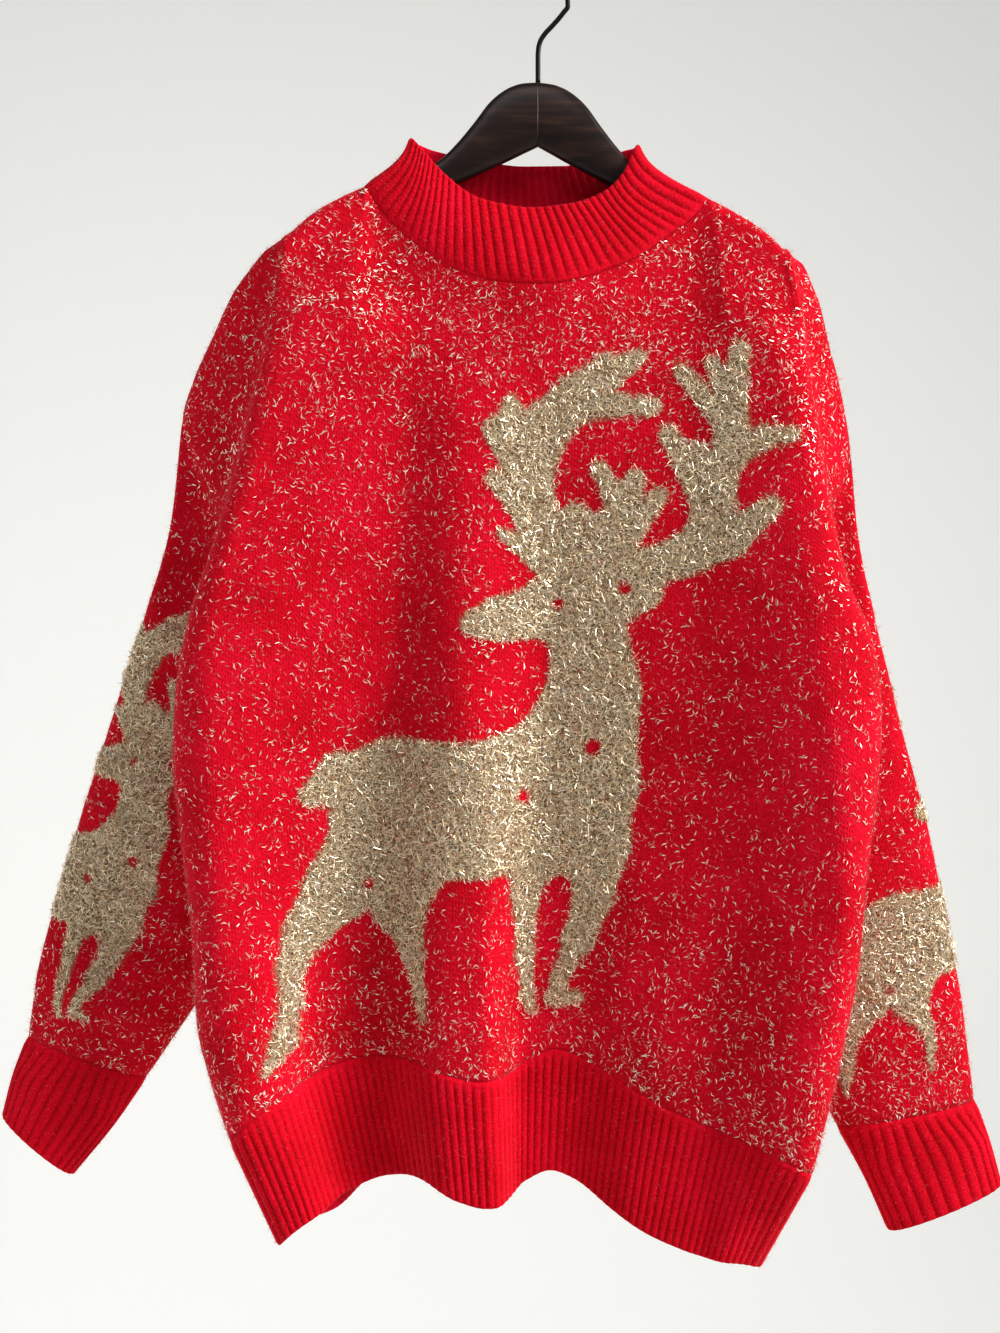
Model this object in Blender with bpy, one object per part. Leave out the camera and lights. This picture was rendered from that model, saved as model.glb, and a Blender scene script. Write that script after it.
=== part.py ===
"""A knitted pullover with a ribbed mock neck, hanging on a wooden hanger.

The origin is the inner top of the hanger's hook, where a rail or a nail holds it. +Z is up and the
front faces -Y. Right and left are the wearer's, so the right sleeve is at -X. Tables are in
millimetres. Each cloth piece is a surface with a wall built round it, and each seam is a 0.4 mm gap.
"""

import math

import bmesh
import bpy
import numpy as np

NAME = "christmas sweater"
MM = 0.001

WALL = 2.2  # thickness of the knitted cloth
SEAM_GAP = 0.4  # space between two pieces at a seam
RIB_HEIGHT = 0.9  # how far a rib stands above the wall
HEM_DROP = 82.0  # height of the ribbed band at the bottom
HEM_SIDE_LEAN = 24.0  # how far the band leans back at its sides
HEM_RIBS = 88  # ribs across one side of the hem
COLLAR_RIBS = 72  # ribs round the collar
CUFF_RIBS = 28  # ribs round a cuff

HANGER_TILT = 0.04  # slope of the hanger, lower at the wearer's left
WIRE = 1.7  # radius of the hook's wire
HOOK_RADIUS = 20.3  # from the hook's middle to the middle of the wire
ROLL = 10.3  # how far the cloth stands off the hanger's middle plane

# The wooden hanger from its middle outwards: distance along, top edge, lower edge, half thickness.
HANGER = (
    (0.0, -72.4, -115.9, 6.0),
    (10.0, -73.4, -121.0, 6.0),
    (18.0, -76.0, -125.2, 6.0),
    (26.0, -81.0, -129.2, 6.0),
    (33.0, -87.5, -132.7, 6.0),
    (43.0, -101.0, -137.7, 6.0),
    (55.0, -116.0, -143.7, 6.0),
    (67.0, -128.0, -149.8, 6.0),
    (90.0, -139.9, -161.5, 5.9),
    (118.0, -153.2, -174.5, 5.7),
    (145.0, -169.2, -187.4, 5.1),
    (154.0, -176.5, -192.0, 4.4),
    (160.5, -183.0, -195.4, 3.4),
    (164.5, -188.2, -197.4, 2.0),
)

# Down one side of the body: how far down, the outermost fold (x, y, z), the seam behind it (x, y, z).
# The seam is the shoulder seam to 0.20, the armhole to 0.42 and the side seam below that.
SIDE = ("down", "fold_x", "fold_y", "fold_z", "seam_x", "seam_y", "seam_z")
SIDE_RIGHT = (
    (0.00, -170, -13, -180, -184, -14, -193),
    (0.012, -170, -22, -187, -188, -13, -197),
    (0.03, -171, -25, -202, -196, -10, -206),
    (0.05, -174, -27, -223, -206, -6, -218),
    (0.10, -179, -31, -252, -221, 1, -246),
    (0.15, -185, -33, -282, -235, 7, -274),
    (0.20, -192, -34, -311, -243, 10, -301),
    (0.275, -204, -34, -356, -224, 0, -348),
    (0.35, -218, -32, -400, -203, -7, -395),
    (0.42, -230, -31, -436, -181, 2, -438),
    (0.50, -239, -30, -485, -196, -10, -485),
    (0.58, -241, -30, -531, -209, -12, -532),
    (0.68, -235, -31, -588, -218, -14, -590),
    (0.78, -228, -33, -646, -219, -16, -649),
    (0.88, -224, -36, -703, -217, -19, -707),
    (0.95, -214, -38, -743, -210, -22, -745),
    (1.00, -202, -40, -778, -198, -25, -776),
)
SIDE_LEFT = (
    (0.00, 166, -13, -189, 177, -14, -200.5),
    (0.012, 167, -22, -196, 180, -12, -204.5),
    (0.03, 169, -25, -210, 184, -9, -212.5),
    (0.05, 172, -27, -227, 189, -6, -222),
    (0.10, 175, -31, -259, 198, 1, -252),
    (0.15, 179, -33, -290, 207, 6, -283),
    (0.20, 184, -34, -320, 214, 10, -324),
    (0.275, 193, -34, -373, 193, 0, -370),
    (0.35, 204, -32, -416, 171, -7, -418),
    (0.42, 220, -31, -455, 153, 2, -458),
    (0.50, 225, -32, -501, 169, -10, -502),
    (0.58, 222, -34, -547, 184, -12, -549),
    (0.68, 214, -36, -605, 193, -14, -608),
    (0.78, 208, -40, -663, 193, -18, -667),
    (0.88, 197, -44, -717, 189, -22, -722),
    (0.95, 187, -46, -758, 181, -26, -761),
    (1.00, 177, -46, -795, 173, -28, -796),
)

# The back panel's edge along the armhole, and how the cloth turns between fold and seam:
# how far down, reach inwards and in depth at the seam, reach in depth at the fold.
ARMHOLE = ("down", "x", "y", "z")
ARMHOLE_RIGHT = (
    (0.20, -243, 10, -301),
    (0.275, -231, 26, -345),
    (0.35, -214, 30, -392),
    (0.42, -181, 2, -438),
)
ARMHOLE_LEFT = (
    (0.20, 214, 10, -324),
    (0.275, 200, 26, -367),
    (0.35, 183, 30, -416),
    (0.42, 153, 2, -458),
)
TURN = (
    (0.00, 3.0, -1.0, 0.5),
    (0.05, 6.0, -8.0, 8.0),
    (0.10, 10.0, -12.0, 16.0),
    (0.20, 14.0, -16.0, 24.0),
    (0.275, 2.0, -9.0, 20.0),
    (0.35, 0.0, -7.0, 16.0),
    (0.42, 0.0, -8.0, 12.0),
    (0.50, -6.0, -5.0, 9.0),
    (0.60, -8.0, -3.0, 8.0),
    (1.00, -6.0, -3.0, 7.0),
)

# The neck's edge, left to right as seen: x, y, z. It crosses the wood before it drops.
NECK_FRONT = (
    (-118, -2.6, -145.7), (-117.2, -8.6, -146.1), (-115.8, -10.9, -148.3), (-112, -11.3, -154.6),
    (-105, -12.1, -163.9), (-96, -13.4, -174.6), (-73, -17.5, -194), (-53, -21, -206), (-30, -24, -213),
    (1, -26, -215.5), (11, -26, -215), (32, -24, -210), (53, -21, -202), (70, -17.5, -193),
    (86, -14.6, -181.2), (101, -12.1, -169.8), (110, -11.2, -160.6), (113.8, -10.9, -156.9),
    (115.2, -8.4, -154.5), (116, -2.4, -154),
)
NECK_BACK = (
    (-118, -2.6, -145.7), (-117.2, 3.8, -146.1), (-115.8, 7.4, -147.9), (-112, 9, -153.1),
    (-104, 11, -159.9), (-85, 15, -168.2), (-50, 21, -176), (0, 24, -179), (50, 21, -177),
    (85, 15, -171.2), (102, 11, -165.3), (110, 9, -159.6), (113.8, 7.4, -156.5), (115.2, 3.8, -154.5),
    (116, -2.4, -154),
)
# Where the panels' columns stand across the neck.
NECK_COLUMNS = (
    -118, -117.2, -115.8, -112, -106, -96, -80, -62, -42, -20, 2, 24, 44, 62, 80, 94, 104, 110,
    113.8, 115.2, 116,
)
# The hem seam, left to right as seen: x, z.
HEM_SEAM_FRONT = (
    (-202, -778), (-190, -765), (-169, -750), (-140, -737), (-116, -730), (-87, -728), (-60, -736),
    (-40, -740), (-21, -740), (-8, -733), (12, -726), (28, -730), (59, -746), (88, -761), (124, -774),
    (147, -781), (166, -790), (177, -795),
)
HEM_SEAM_BACK = (
    (-198, -776), (-150, -754), (-100, -743), (-40, -738), (30, -741), (90, -753), (140, -774), (173, -796),
)

# Folds that run down a panel: where each is across (x) and in depth (y), at four heights.
FOLD_HEIGHTS = (-240, -400, -455, -615, -750)
FOLDS_FRONT = (
    ("crest right", (-160, -202, -214, -208, -191), (-36, -45, -48, -54, -60)),
    ("dip right", (-85, -93, -97, -126, -131), (-27, -25, -23, -17, -14)),
    ("crest middle", (-49, -51, -51, -45, -51), (-29, -35, -38, -42, -46)),
    ("dip middle", (14, 12, 11, 5, 2), (-27, -24, -22, -15, -12)),
    ("shelf", (100, 99, 99, 105, 106), (-28, -34, -37, -42, -42)),
    ("crest left", (150, 172, 180, 190, 166), (-35, -46, -51, -58, -64)),
)
FOLDS_BACK = (
    ("recess right", (-195, -196, -180, -172, -178), (26, 28, 1, -2, -14)),
    ("crest right", (-120, -118, -112, -116, -120), (28, 31, 33, 35, 36)),
    ("dip right", (-62, -58, -58, -60, -66), (27, 25, 22, 16, 12)),
    ("crest middle", (-4, 0, 2, 6, 10), (29, 33, 36, 38, 40)),
    ("dip left", (52, 50, 50, 54, 52), (27, 24, 21, 15, 10)),
    ("crest left", (98, 92, 88, 92, 96), (28, 31, 33, 34, 34)),
    ("recess left", (170, 168, 150, 142, 146), (26, 28, 1, -4, -18)),
)

# A sleeve: how far along, its upper edge (x, y, z), its under edge (x, y, z), half its depth.
SLEEVE = ("along", "top_x", "top_y", "top_z", "under_x", "under_y", "under_z", "depth")
SLEEVE_RIGHT = (
    (0.00, -243, 10, -301, -181, 2, -438, 16),
    (0.15, -252, 15, -372, -181, 12, -478, 15),
    (0.28, -266, 17, -423, -181, 17, -516, 17),
    (0.40, -283, 19, -473, -182, 20, -551, 18),
    (0.52, -300, 21, -526, -188, 22, -586, 18),
    (0.64, -316, 22, -576, -197, 23, -621, 17),
    (0.76, -332, 23, -629, -209, 23, -656, 17),
    (0.88, -344, 22, -676, -232, 22, -694, 18),
    (1.00, -351, 20, -724, -271, 20, -752, 14),
)
SLEEVE_LEFT = (
    (0.00, 214, 10, -324, 153, 2, -458, 16),
    (0.15, 220, 15, -379, 150, 8, -499, 15),
    (0.28, 229, 17, -425, 152, 16, -537, 17),
    (0.40, 242, 19, -476, 154, 20, -572, 18),
    (0.52, 256, 21, -531, 159, 22, -610, 18),
    (0.64, 270, 22, -583, 165, 23, -649, 17),
    (0.76, 281, 23, -635, 171, 23, -690, 17),
    (0.88, 291, 22, -690, 184, 22, -735, 18),
    (1.00, 301, 20, -768, 208, 20, -786, 15),
)
CUFF_RIGHT = (
    (0.0, -351, 20, -724, -271, 20, -752, 14),
    (0.5, -361, 19, -752, -294, 19, -785, 13),
    (1.0, -368, 18, -780, -322, 18, -819, 12),
)
CUFF_LEFT = (
    (0.0, 301, 20, -768, 208, 20, -786, 15),
    (0.5, 311, 19, -797, 228, 19, -822, 14),
    (1.0, 319, 18, -827, 244, 18, -858, 13),
)
# Soft cross folds of a sleeve: along, across (0 front middle), length, width, height.
SLEEVE_CREASES = (
    (0.30, 0.30, 0.05, 0.9, 3.0),
    (0.47, 0.45, 0.04, 0.8, -2.5),
    (0.63, 0.35, 0.05, 0.9, 2.5),
    (0.80, 0.55, 0.04, 0.7, -2.5),
    (0.92, 0.50, 0.04, 1.2, 3.0),
)

# The collar's top edge, round from the wearer's right: part of the way round, x, y, z.
COLLAR_TOP = (
    (0.000, -86, 0, -111), (0.02, -85, -5, -112), (0.045, -81, -8, -117), (0.09, -74, -10.5, -126),
    (0.14, -62, -12, -139), (0.20, -40, -14.5, -155), (0.27, -6, -16, -162), (0.34, 22, -15.5, -159),
    (0.40, 43, -13.5, -151), (0.45, 57, -10.5, -137), (0.475, 63, -8, -124), (0.49, 66, -5, -117),
    (0.500, 67, 0, -115), (0.515, 66, 5, -115), (0.535, 63, 8, -115), (0.59, 48, 12, -118),
    (0.68, 18, 15, -124), (0.76, -10, 16, -124), (0.85, -44, 13.5, -120), (0.93, -72, 10, -115),
    (0.965, -81, 8, -112), (0.985, -85, 5, -111), (1.000, -86, 0, -111),
)

# The hook's bend between its stem and its round part: x, z.
HOOK_BEND = (
    (0.0, -72.0), (0.0, -64.0), (0.0, -54.0), (0.4, -48.5), (1.8, -43.6), (4.6, -39.2), (9.4, -34.0),
    (14.2, -28.6), (17.8, -24.0),
)
HOOK_END = 166.0  # degrees round at which the wire stops

MATERIALS = {
    "wool": {"color": (0.62, 0.004, 0.022, 1.0), "roughness": 0.92, "metallic": 0.0},
    "ribbed wool": {"color": (0.58, 0.004, 0.020, 1.0), "roughness": 0.94, "metallic": 0.0},
    "dark wood": {"color": (0.030, 0.019, 0.016, 1.0), "roughness": 0.38, "metallic": 0.0},
    "black steel": {"color": (0.012, 0.012, 0.013, 1.0), "roughness": 0.35, "metallic": 0.9},
}


def smooth(q):
    """Ease from 0 to 1, level at both ends."""
    q = np.clip(q, 0.0, 1.0)
    return q * q * (3.0 - 2.0 * q)


def follow(xs, ys, q):
    """A curve through a table's rows that never swings past them."""
    xs, ys = np.asarray(xs, float), np.asarray(ys, float)
    h = np.diff(xs)
    d = np.diff(ys) / h
    m = np.concatenate([d[:1], np.zeros(len(d) - 1), d[-1:]])
    for k in range(1, len(d)):
        if d[k - 1] * d[k] > 0.0:
            m[k] = 2.0 * d[k - 1] * d[k] / (d[k - 1] + d[k])
    q = np.clip(np.asarray(q, float), xs[0], xs[-1])
    k = np.clip(np.searchsorted(xs, q, side="right") - 1, 0, len(h) - 1)
    t = (q - xs[k]) / h[k]
    a = (1.0 + 2.0 * t) * (1.0 - t) ** 2 * ys[k] + t * (1.0 - t) ** 2 * h[k] * m[k]
    return a + t * t * (3.0 - 2.0 * t) * ys[k + 1] + t * t * (t - 1.0) * h[k] * m[k + 1]


def column(table, names, name, q):
    """The named column of a table at q, its first column being the way along."""
    return follow([row[0] for row in table], [row[names.index(name)] for row in table], q)


def columns(table, names, wanted, q):
    """Some named columns as one point for each q."""
    return np.stack([column(table, names, name, q) for name in wanted], axis=-1)


def hanger_top(x):
    """Height of the wood's top edge at x."""
    along = [row[0] for row in HANGER]
    return follow(along, [row[1] for row in HANGER], np.abs(x)) - HANGER_TILT * np.asarray(x)


def hanger_bow(x):
    """How far forward the wood is at x: its arms curve forward towards their ends."""
    return -12.0 * (np.maximum(np.abs(x) - 90.0, 0.0) / 78.0) ** 1.5


def shoulder(x):
    """Height of the shoulder seam: it rests just above the wood, then drops past its end."""
    beyond = np.maximum(np.abs(x) - 162.0, 0.0)
    return hanger_top(np.clip(x, -162.0, 162.0)) + 3.1 - 0.75 * beyond


def top_line(neck, x, across_neck):
    """Height of a panel's top edge, on the shoulder or round the neck."""
    return np.where(across_neck, follow([p[0] for p in neck], [p[2] for p in neck], x), shoulder(x))


def fold_depth(folds, x, z, sharp):
    """Depth of a panel where its folds cross height z, and where its outer folds are."""
    down = [-h for h in FOLD_HEIGHTS]
    xs = [follow(down, fold[1], -z) for fold in folds]
    ys = [follow(down, fold[2], -z) for fold in folds]
    depth = np.where(x < xs[0], ys[0], ys[-1])
    for k in range(len(folds) - 1):
        q = smooth((x - xs[k]) / (xs[k + 1] - xs[k]))
        for extra in (sharp, sharp - 1.0):
            q = q + (smooth(q) - q) * np.clip(extra, 0.0, 1.0)
        between = (x >= xs[k]) & (x < xs[k + 1])
        depth = np.where(between, ys[k] + (ys[k + 1] - ys[k]) * q, depth)
    return depth, xs, ys


def coons(top, low, first, last, s, v):
    """A sheet between four edges: top and low run along s, first and last along v."""
    s, v = s[..., None], v[..., None]
    a, b = first[0], first[-1]
    c, d = last[0], last[-1]
    sides = (1 - s) * (first[:, None] - (1 - v) * a - v * b) + s * (last[:, None] - (1 - v) * c - v * d)
    return (1 - v) * top[None] + v * low[None] + sides


def roll_over(drop, off_wood):
    """Depth gained where cloth rolls over the wood, less where its edge already stands off the wood."""
    over = np.sqrt(1.0 - (1.0 - np.clip(drop / ROLL, 0.0, 1.0)) ** 2)
    return ROLL * over * (1.0 - np.clip(np.abs(off_wood) / ROLL, 0.0, 1.0))


def panel(side_r, side_l, names, neck, hem, folds, s, across_neck, v, front):
    """The main face of a panel between its two outer edges."""
    wanted = ("fold_x", "fold_y", "fold_z") if front else ("seam_x", "seam_y", "seam_z")
    first, last = columns(side_r, names, wanted, v), columns(side_l, names, wanted, v)
    top_x = first[0, 0] + (last[0, 0] - first[0, 0]) * s
    low_x = first[-1, 0] + (last[-1, 0] - first[-1, 0]) * s
    top = np.stack([top_x, top_line(neck, top_x, across_neck)], -1)
    top[0, 1], top[-1, 1] = first[0, 2], last[0, 2]
    low = np.stack([low_x, follow([p[0] for p in hem], [p[1] for p in hem], low_x)], -1)
    low[0, 1], low[-1, 1] = first[-1, 2], last[-1, 2]
    grid_s, grid_v = np.meshgrid(s, v)
    xz = coons(top, low, first[:, [0, 2]], last[:, [0, 2]], grid_s, grid_v)
    x, z = xz[..., 0], xz[..., 1]
    out = -1.0 if front else 1.0
    top_y = np.where(across_neck, follow([p[0] for p in neck], [p[1] for p in neck], top_x), hanger_bow(top_x))
    drop = top[None, :, 1] - z
    sharp = smooth((grid_v - 0.55) / 0.45)
    depth, xs, ys = fold_depth(folds, x, z, sharp)
    if front:
        for edge, k in ((first, 0), (last, -1)):
            span = edge[:, None, 0] - xs[k]
            q = np.clip((x - xs[k]) / np.where(np.abs(span) < 1.0, np.inf, span), 0.0, 1.0)
            depth = depth + (edge[:, None, 1] - ys[k]) * (1.0 - np.sqrt(1.0 - q * q))
    over_wood = np.clip(x, -168.0, 168.0)
    rolled = top_y + out * roll_over(drop, top_y - hanger_bow(top_x))
    rolled = rolled + np.where(across_neck, 0.0, hanger_bow(over_wood) - hanger_bow(top_x))
    y = rolled + (depth - rolled) * smooth((drop - 2.0) / 95.0)
    for edge, at in ((first, 0), (last, -1)):
        away = np.abs(x - edge[:, None, 0])
        y = y + (edge[:, None, 1] - y[:, at][:, None]) * np.exp(-away / (4.0 if front else 9.0))
    return np.stack([x, y, z], -1)


def strip(face_edge, side, names, v, q, inward):
    """The cloth that turns back from the outermost fold to the seam behind it."""
    seam = columns(side, names, ("seam_x", "seam_y", "seam_z"), v)
    turn = [follow([row[0] for row in TURN], [row[k] for row in TURN], v) for k in (1, 2, 3)]
    near = seam + np.stack([inward * turn[0], turn[1], 0 * v], -1)
    far = face_edge + np.stack([0 * v, turn[2], 0 * v], -1)
    q = q[None, :, None]
    p, n, f, e = (a[:, None] for a in (seam, near, far, face_edge))
    return (1 - q) ** 3 * p + 3 * (1 - q) ** 2 * q * n + 3 * (1 - q) * q * q * f + q**3 * e


def front_sheet(s, across_neck, v, q):
    """The whole front: strip, face, strip."""
    face = panel(SIDE_RIGHT, SIDE_LEFT, SIDE, NECK_FRONT, HEM_SEAM_FRONT, FOLDS_FRONT, s, across_neck, v, True)
    right = strip(face[:, 0], SIDE_RIGHT, SIDE, v, q, 1.0)
    left = strip(face[:, -1], SIDE_LEFT, SIDE, v, q, -1.0)
    return np.concatenate([right[:, :-1], face, left[:, -2::-1]], axis=1)


def back_side(side, armhole):
    """The back panel's own side table, which leaves the front's along the armhole."""
    rows = []
    for row in side:
        match = [a for a in armhole if a[0] == row[0] and 0.2 < row[0] < 0.42]
        rows.append((row[0],) + row[1:4] + (match[0][1:] if match else row[4:7]))
    return tuple(rows)


def back_sheet(s, across_neck, v):
    """The whole back, from seam to seam."""
    right, left = back_side(SIDE_RIGHT, ARMHOLE_RIGHT), back_side(SIDE_LEFT, ARMHOLE_LEFT)
    return panel(right, left, SIDE, NECK_BACK, HEM_SEAM_BACK, FOLDS_BACK, s, across_neck, v, False)


def across_columns(cells, first_x, last_x):
    """Where the columns of the front stand, close together at its sides, and which are on the neck."""
    side = np.linspace(0, 1, cells + 1) ** 1.6
    neck = np.array(NECK_COLUMNS, float)
    right, left = first_x + side * (neck[0] - first_x), last_x - side * (last_x - neck[-1])
    x = np.concatenate([right, neck[1:], left[::-1][1:]])
    return (x - first_x) / (last_x - first_x), (x >= neck[0]) & (x <= neck[-1])


def ring_of(front, back, rows):
    """The armhole's ring: down the front's edge from the shoulder, then up the back's."""
    top, low = rows
    return np.concatenate([front[top:low], back[low:top:-1]])


def sleeve_section(table, along, angle, squash):
    """Points round a sleeve at one place along it; angle 0 is the upper edge, pi the under edge."""
    top = columns(table, SLEEVE, ("top_x", "top_y", "top_z"), along)
    under = columns(table, SLEEVE, ("under_x", "under_y", "under_z"), along)
    depth = column(table, SLEEVE, "depth", along)
    middle, half = (top + under) / 2, (top - under) / 2
    across = half / np.linalg.norm(half)
    ahead = np.array([0.0, -1.0, 0.0])
    ahead = ahead - across * (ahead @ across)
    ahead = ahead / np.linalg.norm(ahead)
    lift = np.sign(np.sin(angle)) * np.abs(np.sin(angle)) ** squash
    return middle + np.cos(angle)[:, None] * half + (lift * depth)[:, None] * ahead


def ring_angles(ring, half):
    """An angle for each point of the armhole's ring, by its way round, with pi at point `half`."""
    step = np.linalg.norm(np.roll(ring, -1, 0) - ring, axis=1)
    way = np.concatenate([[0.0], np.cumsum(step)])
    angle = np.where(np.arange(len(ring)) <= half, np.pi * way[:-1] / way[half], 0.0)
    rest = np.pi + np.pi * (way[:-1] - way[half]) / (way[-1] - way[half])
    return np.where(np.arange(len(ring)) <= half, angle, rest)


def sleeve_sheet(table, ring, half, along):
    """A sleeve that starts on the armhole's ring and settles into its own sections."""
    angle = ring_angles(ring, half)
    start = sleeve_section(table, 0.0, angle, 0.85)
    rows = []
    for t in along:
        left = 1.0 - smooth(t / 0.22)
        row = sleeve_section(table, t, angle, 0.85) + (ring - start) * left
        quick = min(t / 0.08, 1.0)
        turn = 7.0 * math.sqrt(quick * (2.0 - quick)) * (1.0 - smooth((t - 0.15) / 0.3))
        row[:, 1] += turn * smooth(angle / (0.3 * np.pi)) * smooth((1.2 * np.pi - angle) / (0.35 * np.pi))
        for where, side, length, width, height in SLEEVE_CREASES:
            bump = math.exp(-(((t - where) / length) ** 2))
            across = np.exp(-(((angle / np.pi - side) / (width * 0.5)) ** 2))
            row[:, 1] -= height * bump * across * smooth(t / 0.3) * smooth((1.0 - t) / 0.06)
        rows.append(row)
    return np.array(rows)


def way_along(points, closed):
    """Part of the way along a run of points, from 0 to 1."""
    ends = np.concatenate([points, points[:1]]) if closed else points
    way = np.concatenate([[0.0], np.cumsum(np.linalg.norm(np.diff(ends, axis=0), axis=1))])
    return way / way[-1]


def place(way, values, q, closed):
    """Values read off a run of points at q."""
    ends = np.concatenate([values, values[:1]]) if closed else values
    return np.stack([np.interp(q, way, ends[:, k]) for k in range(ends.shape[1])], -1)


def facing(grid, closed, out):
    """The outward direction at each point of a sheet."""
    if closed:
        along = np.roll(grid, -1, 1) - np.roll(grid, 1, 1)
    else:
        along = np.gradient(grid, axis=1)
    face = np.cross(np.gradient(grid, axis=0), along) * out
    return face / np.maximum(np.linalg.norm(face, axis=-1, keepdims=True), 1e-9)


def shared(sheets):
    """Makes the outward direction the same on both sides of each seam."""
    sums = {}
    for sheet in sheets.values():
        for point, face in zip(sheet["grid"].reshape(-1, 3), sheet["face"].reshape(-1, 3)):
            key = tuple(np.round(point, 3))
            sums[key] = sums.get(key, 0.0) + face
    for sheet in sheets.values():
        flat = sheet["face"].reshape(-1, 3)
        for k, point in enumerate(sheet["grid"].reshape(-1, 3)):
            total = sums[tuple(np.round(point, 3))]
            flat[k] = total / max(np.linalg.norm(total), 1e-9)


def trimmed(grid, edges, extra=()):
    """The sheet with its seamed edges moved back by half the gap, and a few places by more."""
    places = {"top": ((0, slice(None)), (1, slice(None))), "low": ((-1, slice(None)), (-2, slice(None))),
              "first": ((slice(None), 0), (slice(None), 1)), "last": ((slice(None), -1), (slice(None), -2))}
    whole, grid = grid, grid.copy()
    for edge in edges:
        at, inner = places[edge]
        move = whole[inner] - whole[at]
        length = np.maximum(np.linalg.norm(move, axis=-1, keepdims=True), 1e-9)
        back = np.full(len(move), SEAM_GAP / 2)
        for name, spot, more in extra:
            if name == edge:
                back[spot] += more
        grid[at] = grid[at] + move / length * back[:, None]
    return grid


def zip_edges(chain_a, way_a, chain_b, way_b):
    """Triangles between two runs of points with different counts."""
    faces = []
    i = j = 0
    while i < len(chain_a) - 1 or j < len(chain_b) - 1:
        step_a = way_a[i + 1] if i < len(chain_a) - 1 else 9.0
        step_b = way_b[j + 1] if j < len(chain_b) - 1 else 9.0
        if step_a <= step_b:
            faces.append((chain_a[i], chain_a[i + 1], chain_b[j]))
            i += 1
        else:
            faces.append((chain_a[i], chain_b[j + 1], chain_b[j]))
            j += 1
    return faces


def wall(outer, inner, closed, way_a, way_b):
    """A closed solid between two grids with columns of their own, placed across by way_a and way_b."""
    points = np.concatenate([outer.reshape(-1, 3), inner.reshape(-1, 3)])
    shift = outer.shape[0] * outer.shape[1]
    faces = []
    index_a = np.arange(shift).reshape(outer.shape[:2])
    index_b = shift + np.arange(inner.shape[0] * inner.shape[1]).reshape(inner.shape[:2])
    if closed:
        index_a = np.concatenate([index_a, index_a[:, :1]], axis=1)
        index_b = np.concatenate([index_b, index_b[:, :1]], axis=1)
    for index, flip in ((index_a, False), (index_b, True)):
        for r in range(index.shape[0] - 1):
            for c in range(index.shape[1] - 1):
                a, b, d, e = index[r, c], index[r, c + 1], index[r + 1, c + 1], index[r + 1, c]
                faces.append((a, d, e) if flip else (a, e, d))
                faces.append((a, b, d) if flip else (a, d, b))
    edges = [(0, True), (-1, False)]
    for row, turn in edges:
        for face in zip_edges(list(index_a[row]), way_a, list(index_b[row]), way_b):
            faces.append(face if turn else face[::-1])
    if not closed:
        for col, turn in ((0, False), (-1, True)):
            a, b = list(index_a[:, col]), list(index_b[:, col])
            way = [np.linspace(0, 1, len(a)), np.linspace(0, 1, len(b))]
            for face in zip_edges(a, way[0], b, way[1]):
                faces.append(face if turn else face[::-1])
    return points, faces


def rib_lift(count):
    """One raised point to each rib, over an even number of points."""
    return np.where(np.arange(count) % 2 == 1, RIB_HEIGHT, 0.0)


def rib_places(count, way):
    """Two points to a rib, the nearest ones moved onto the corners of the edge they hang from."""
    fine = np.linspace(0, 1, 2 * count + 1)
    for corner in way[1:-1]:
        near = np.argmin(np.abs(fine[1:-1] - corner)) + 1
        if fine[near - 1] < corner < fine[near + 1]:
            fine[near] = corner
    return fine


def ribbed(rows_of, way, closed, count, seam_face, out, seam_row):
    """A ribbed band: rows_of(q) gives its rows at places q across; ribs only on the outer points."""
    fine, walls = rib_places(count, way), []
    last = -1 if closed else None
    for q, half in ((fine[:last], WALL / 2), (way[:last], -WALL / 2)):
        grid = rows_of(q)
        face = facing(grid, closed, out)
        face[seam_row] = seam_face(q)
        if not closed:
            face[:, 0], face[:, -1] = face[0, 0], face[0, -1]
        grid = trimmed(grid, ("top" if seam_row == 0 else "low",) + (() if closed else ("first", "last")))
        lift = rib_lift(len(q)) if half > 0 else 0.0 * q
        walls.append(grid + face * (half + lift)[None, :, None])
    return wall(walls[0], walls[1], closed, fine, way)


def add_part(name, points, faces, material, collection):
    """One named object from points and triangles, in metres."""
    mesh = bpy.data.meshes.new(name)
    mesh.from_pydata([tuple(p * MM) for p in points], [], [tuple(int(i) for i in f) for f in faces])
    mesh.materials.append(material)
    body = bmesh.new()
    body.from_mesh(mesh)
    bmesh.ops.recalc_face_normals(body, faces=body.faces)
    if body.calc_volume(signed=True) < 0.0:
        bmesh.ops.reverse_faces(body, faces=body.faces)
    body.to_mesh(mesh)
    body.free()
    mesh.update()
    part = bpy.data.objects.new(name, mesh)
    collection.objects.link(part)
    return part


def add_tube(name, points, radius, material, collection):
    """A wire along a run of points."""
    curve = bpy.data.curves.new(name, "CURVE")
    curve.dimensions = "3D"
    curve.bevel_depth = radius * MM
    curve.bevel_resolution = 2
    curve.use_fill_caps = True
    spline = curve.splines.new("POLY")
    spline.points.add(len(points) - 1)
    for spot, (x, y, z) in zip(spline.points, points):
        spot.co = (x * MM, y * MM, z * MM, 1.0)
    curve.materials.append(material)
    part = bpy.data.objects.new(name, curve)
    collection.objects.link(part)
    return part


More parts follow.
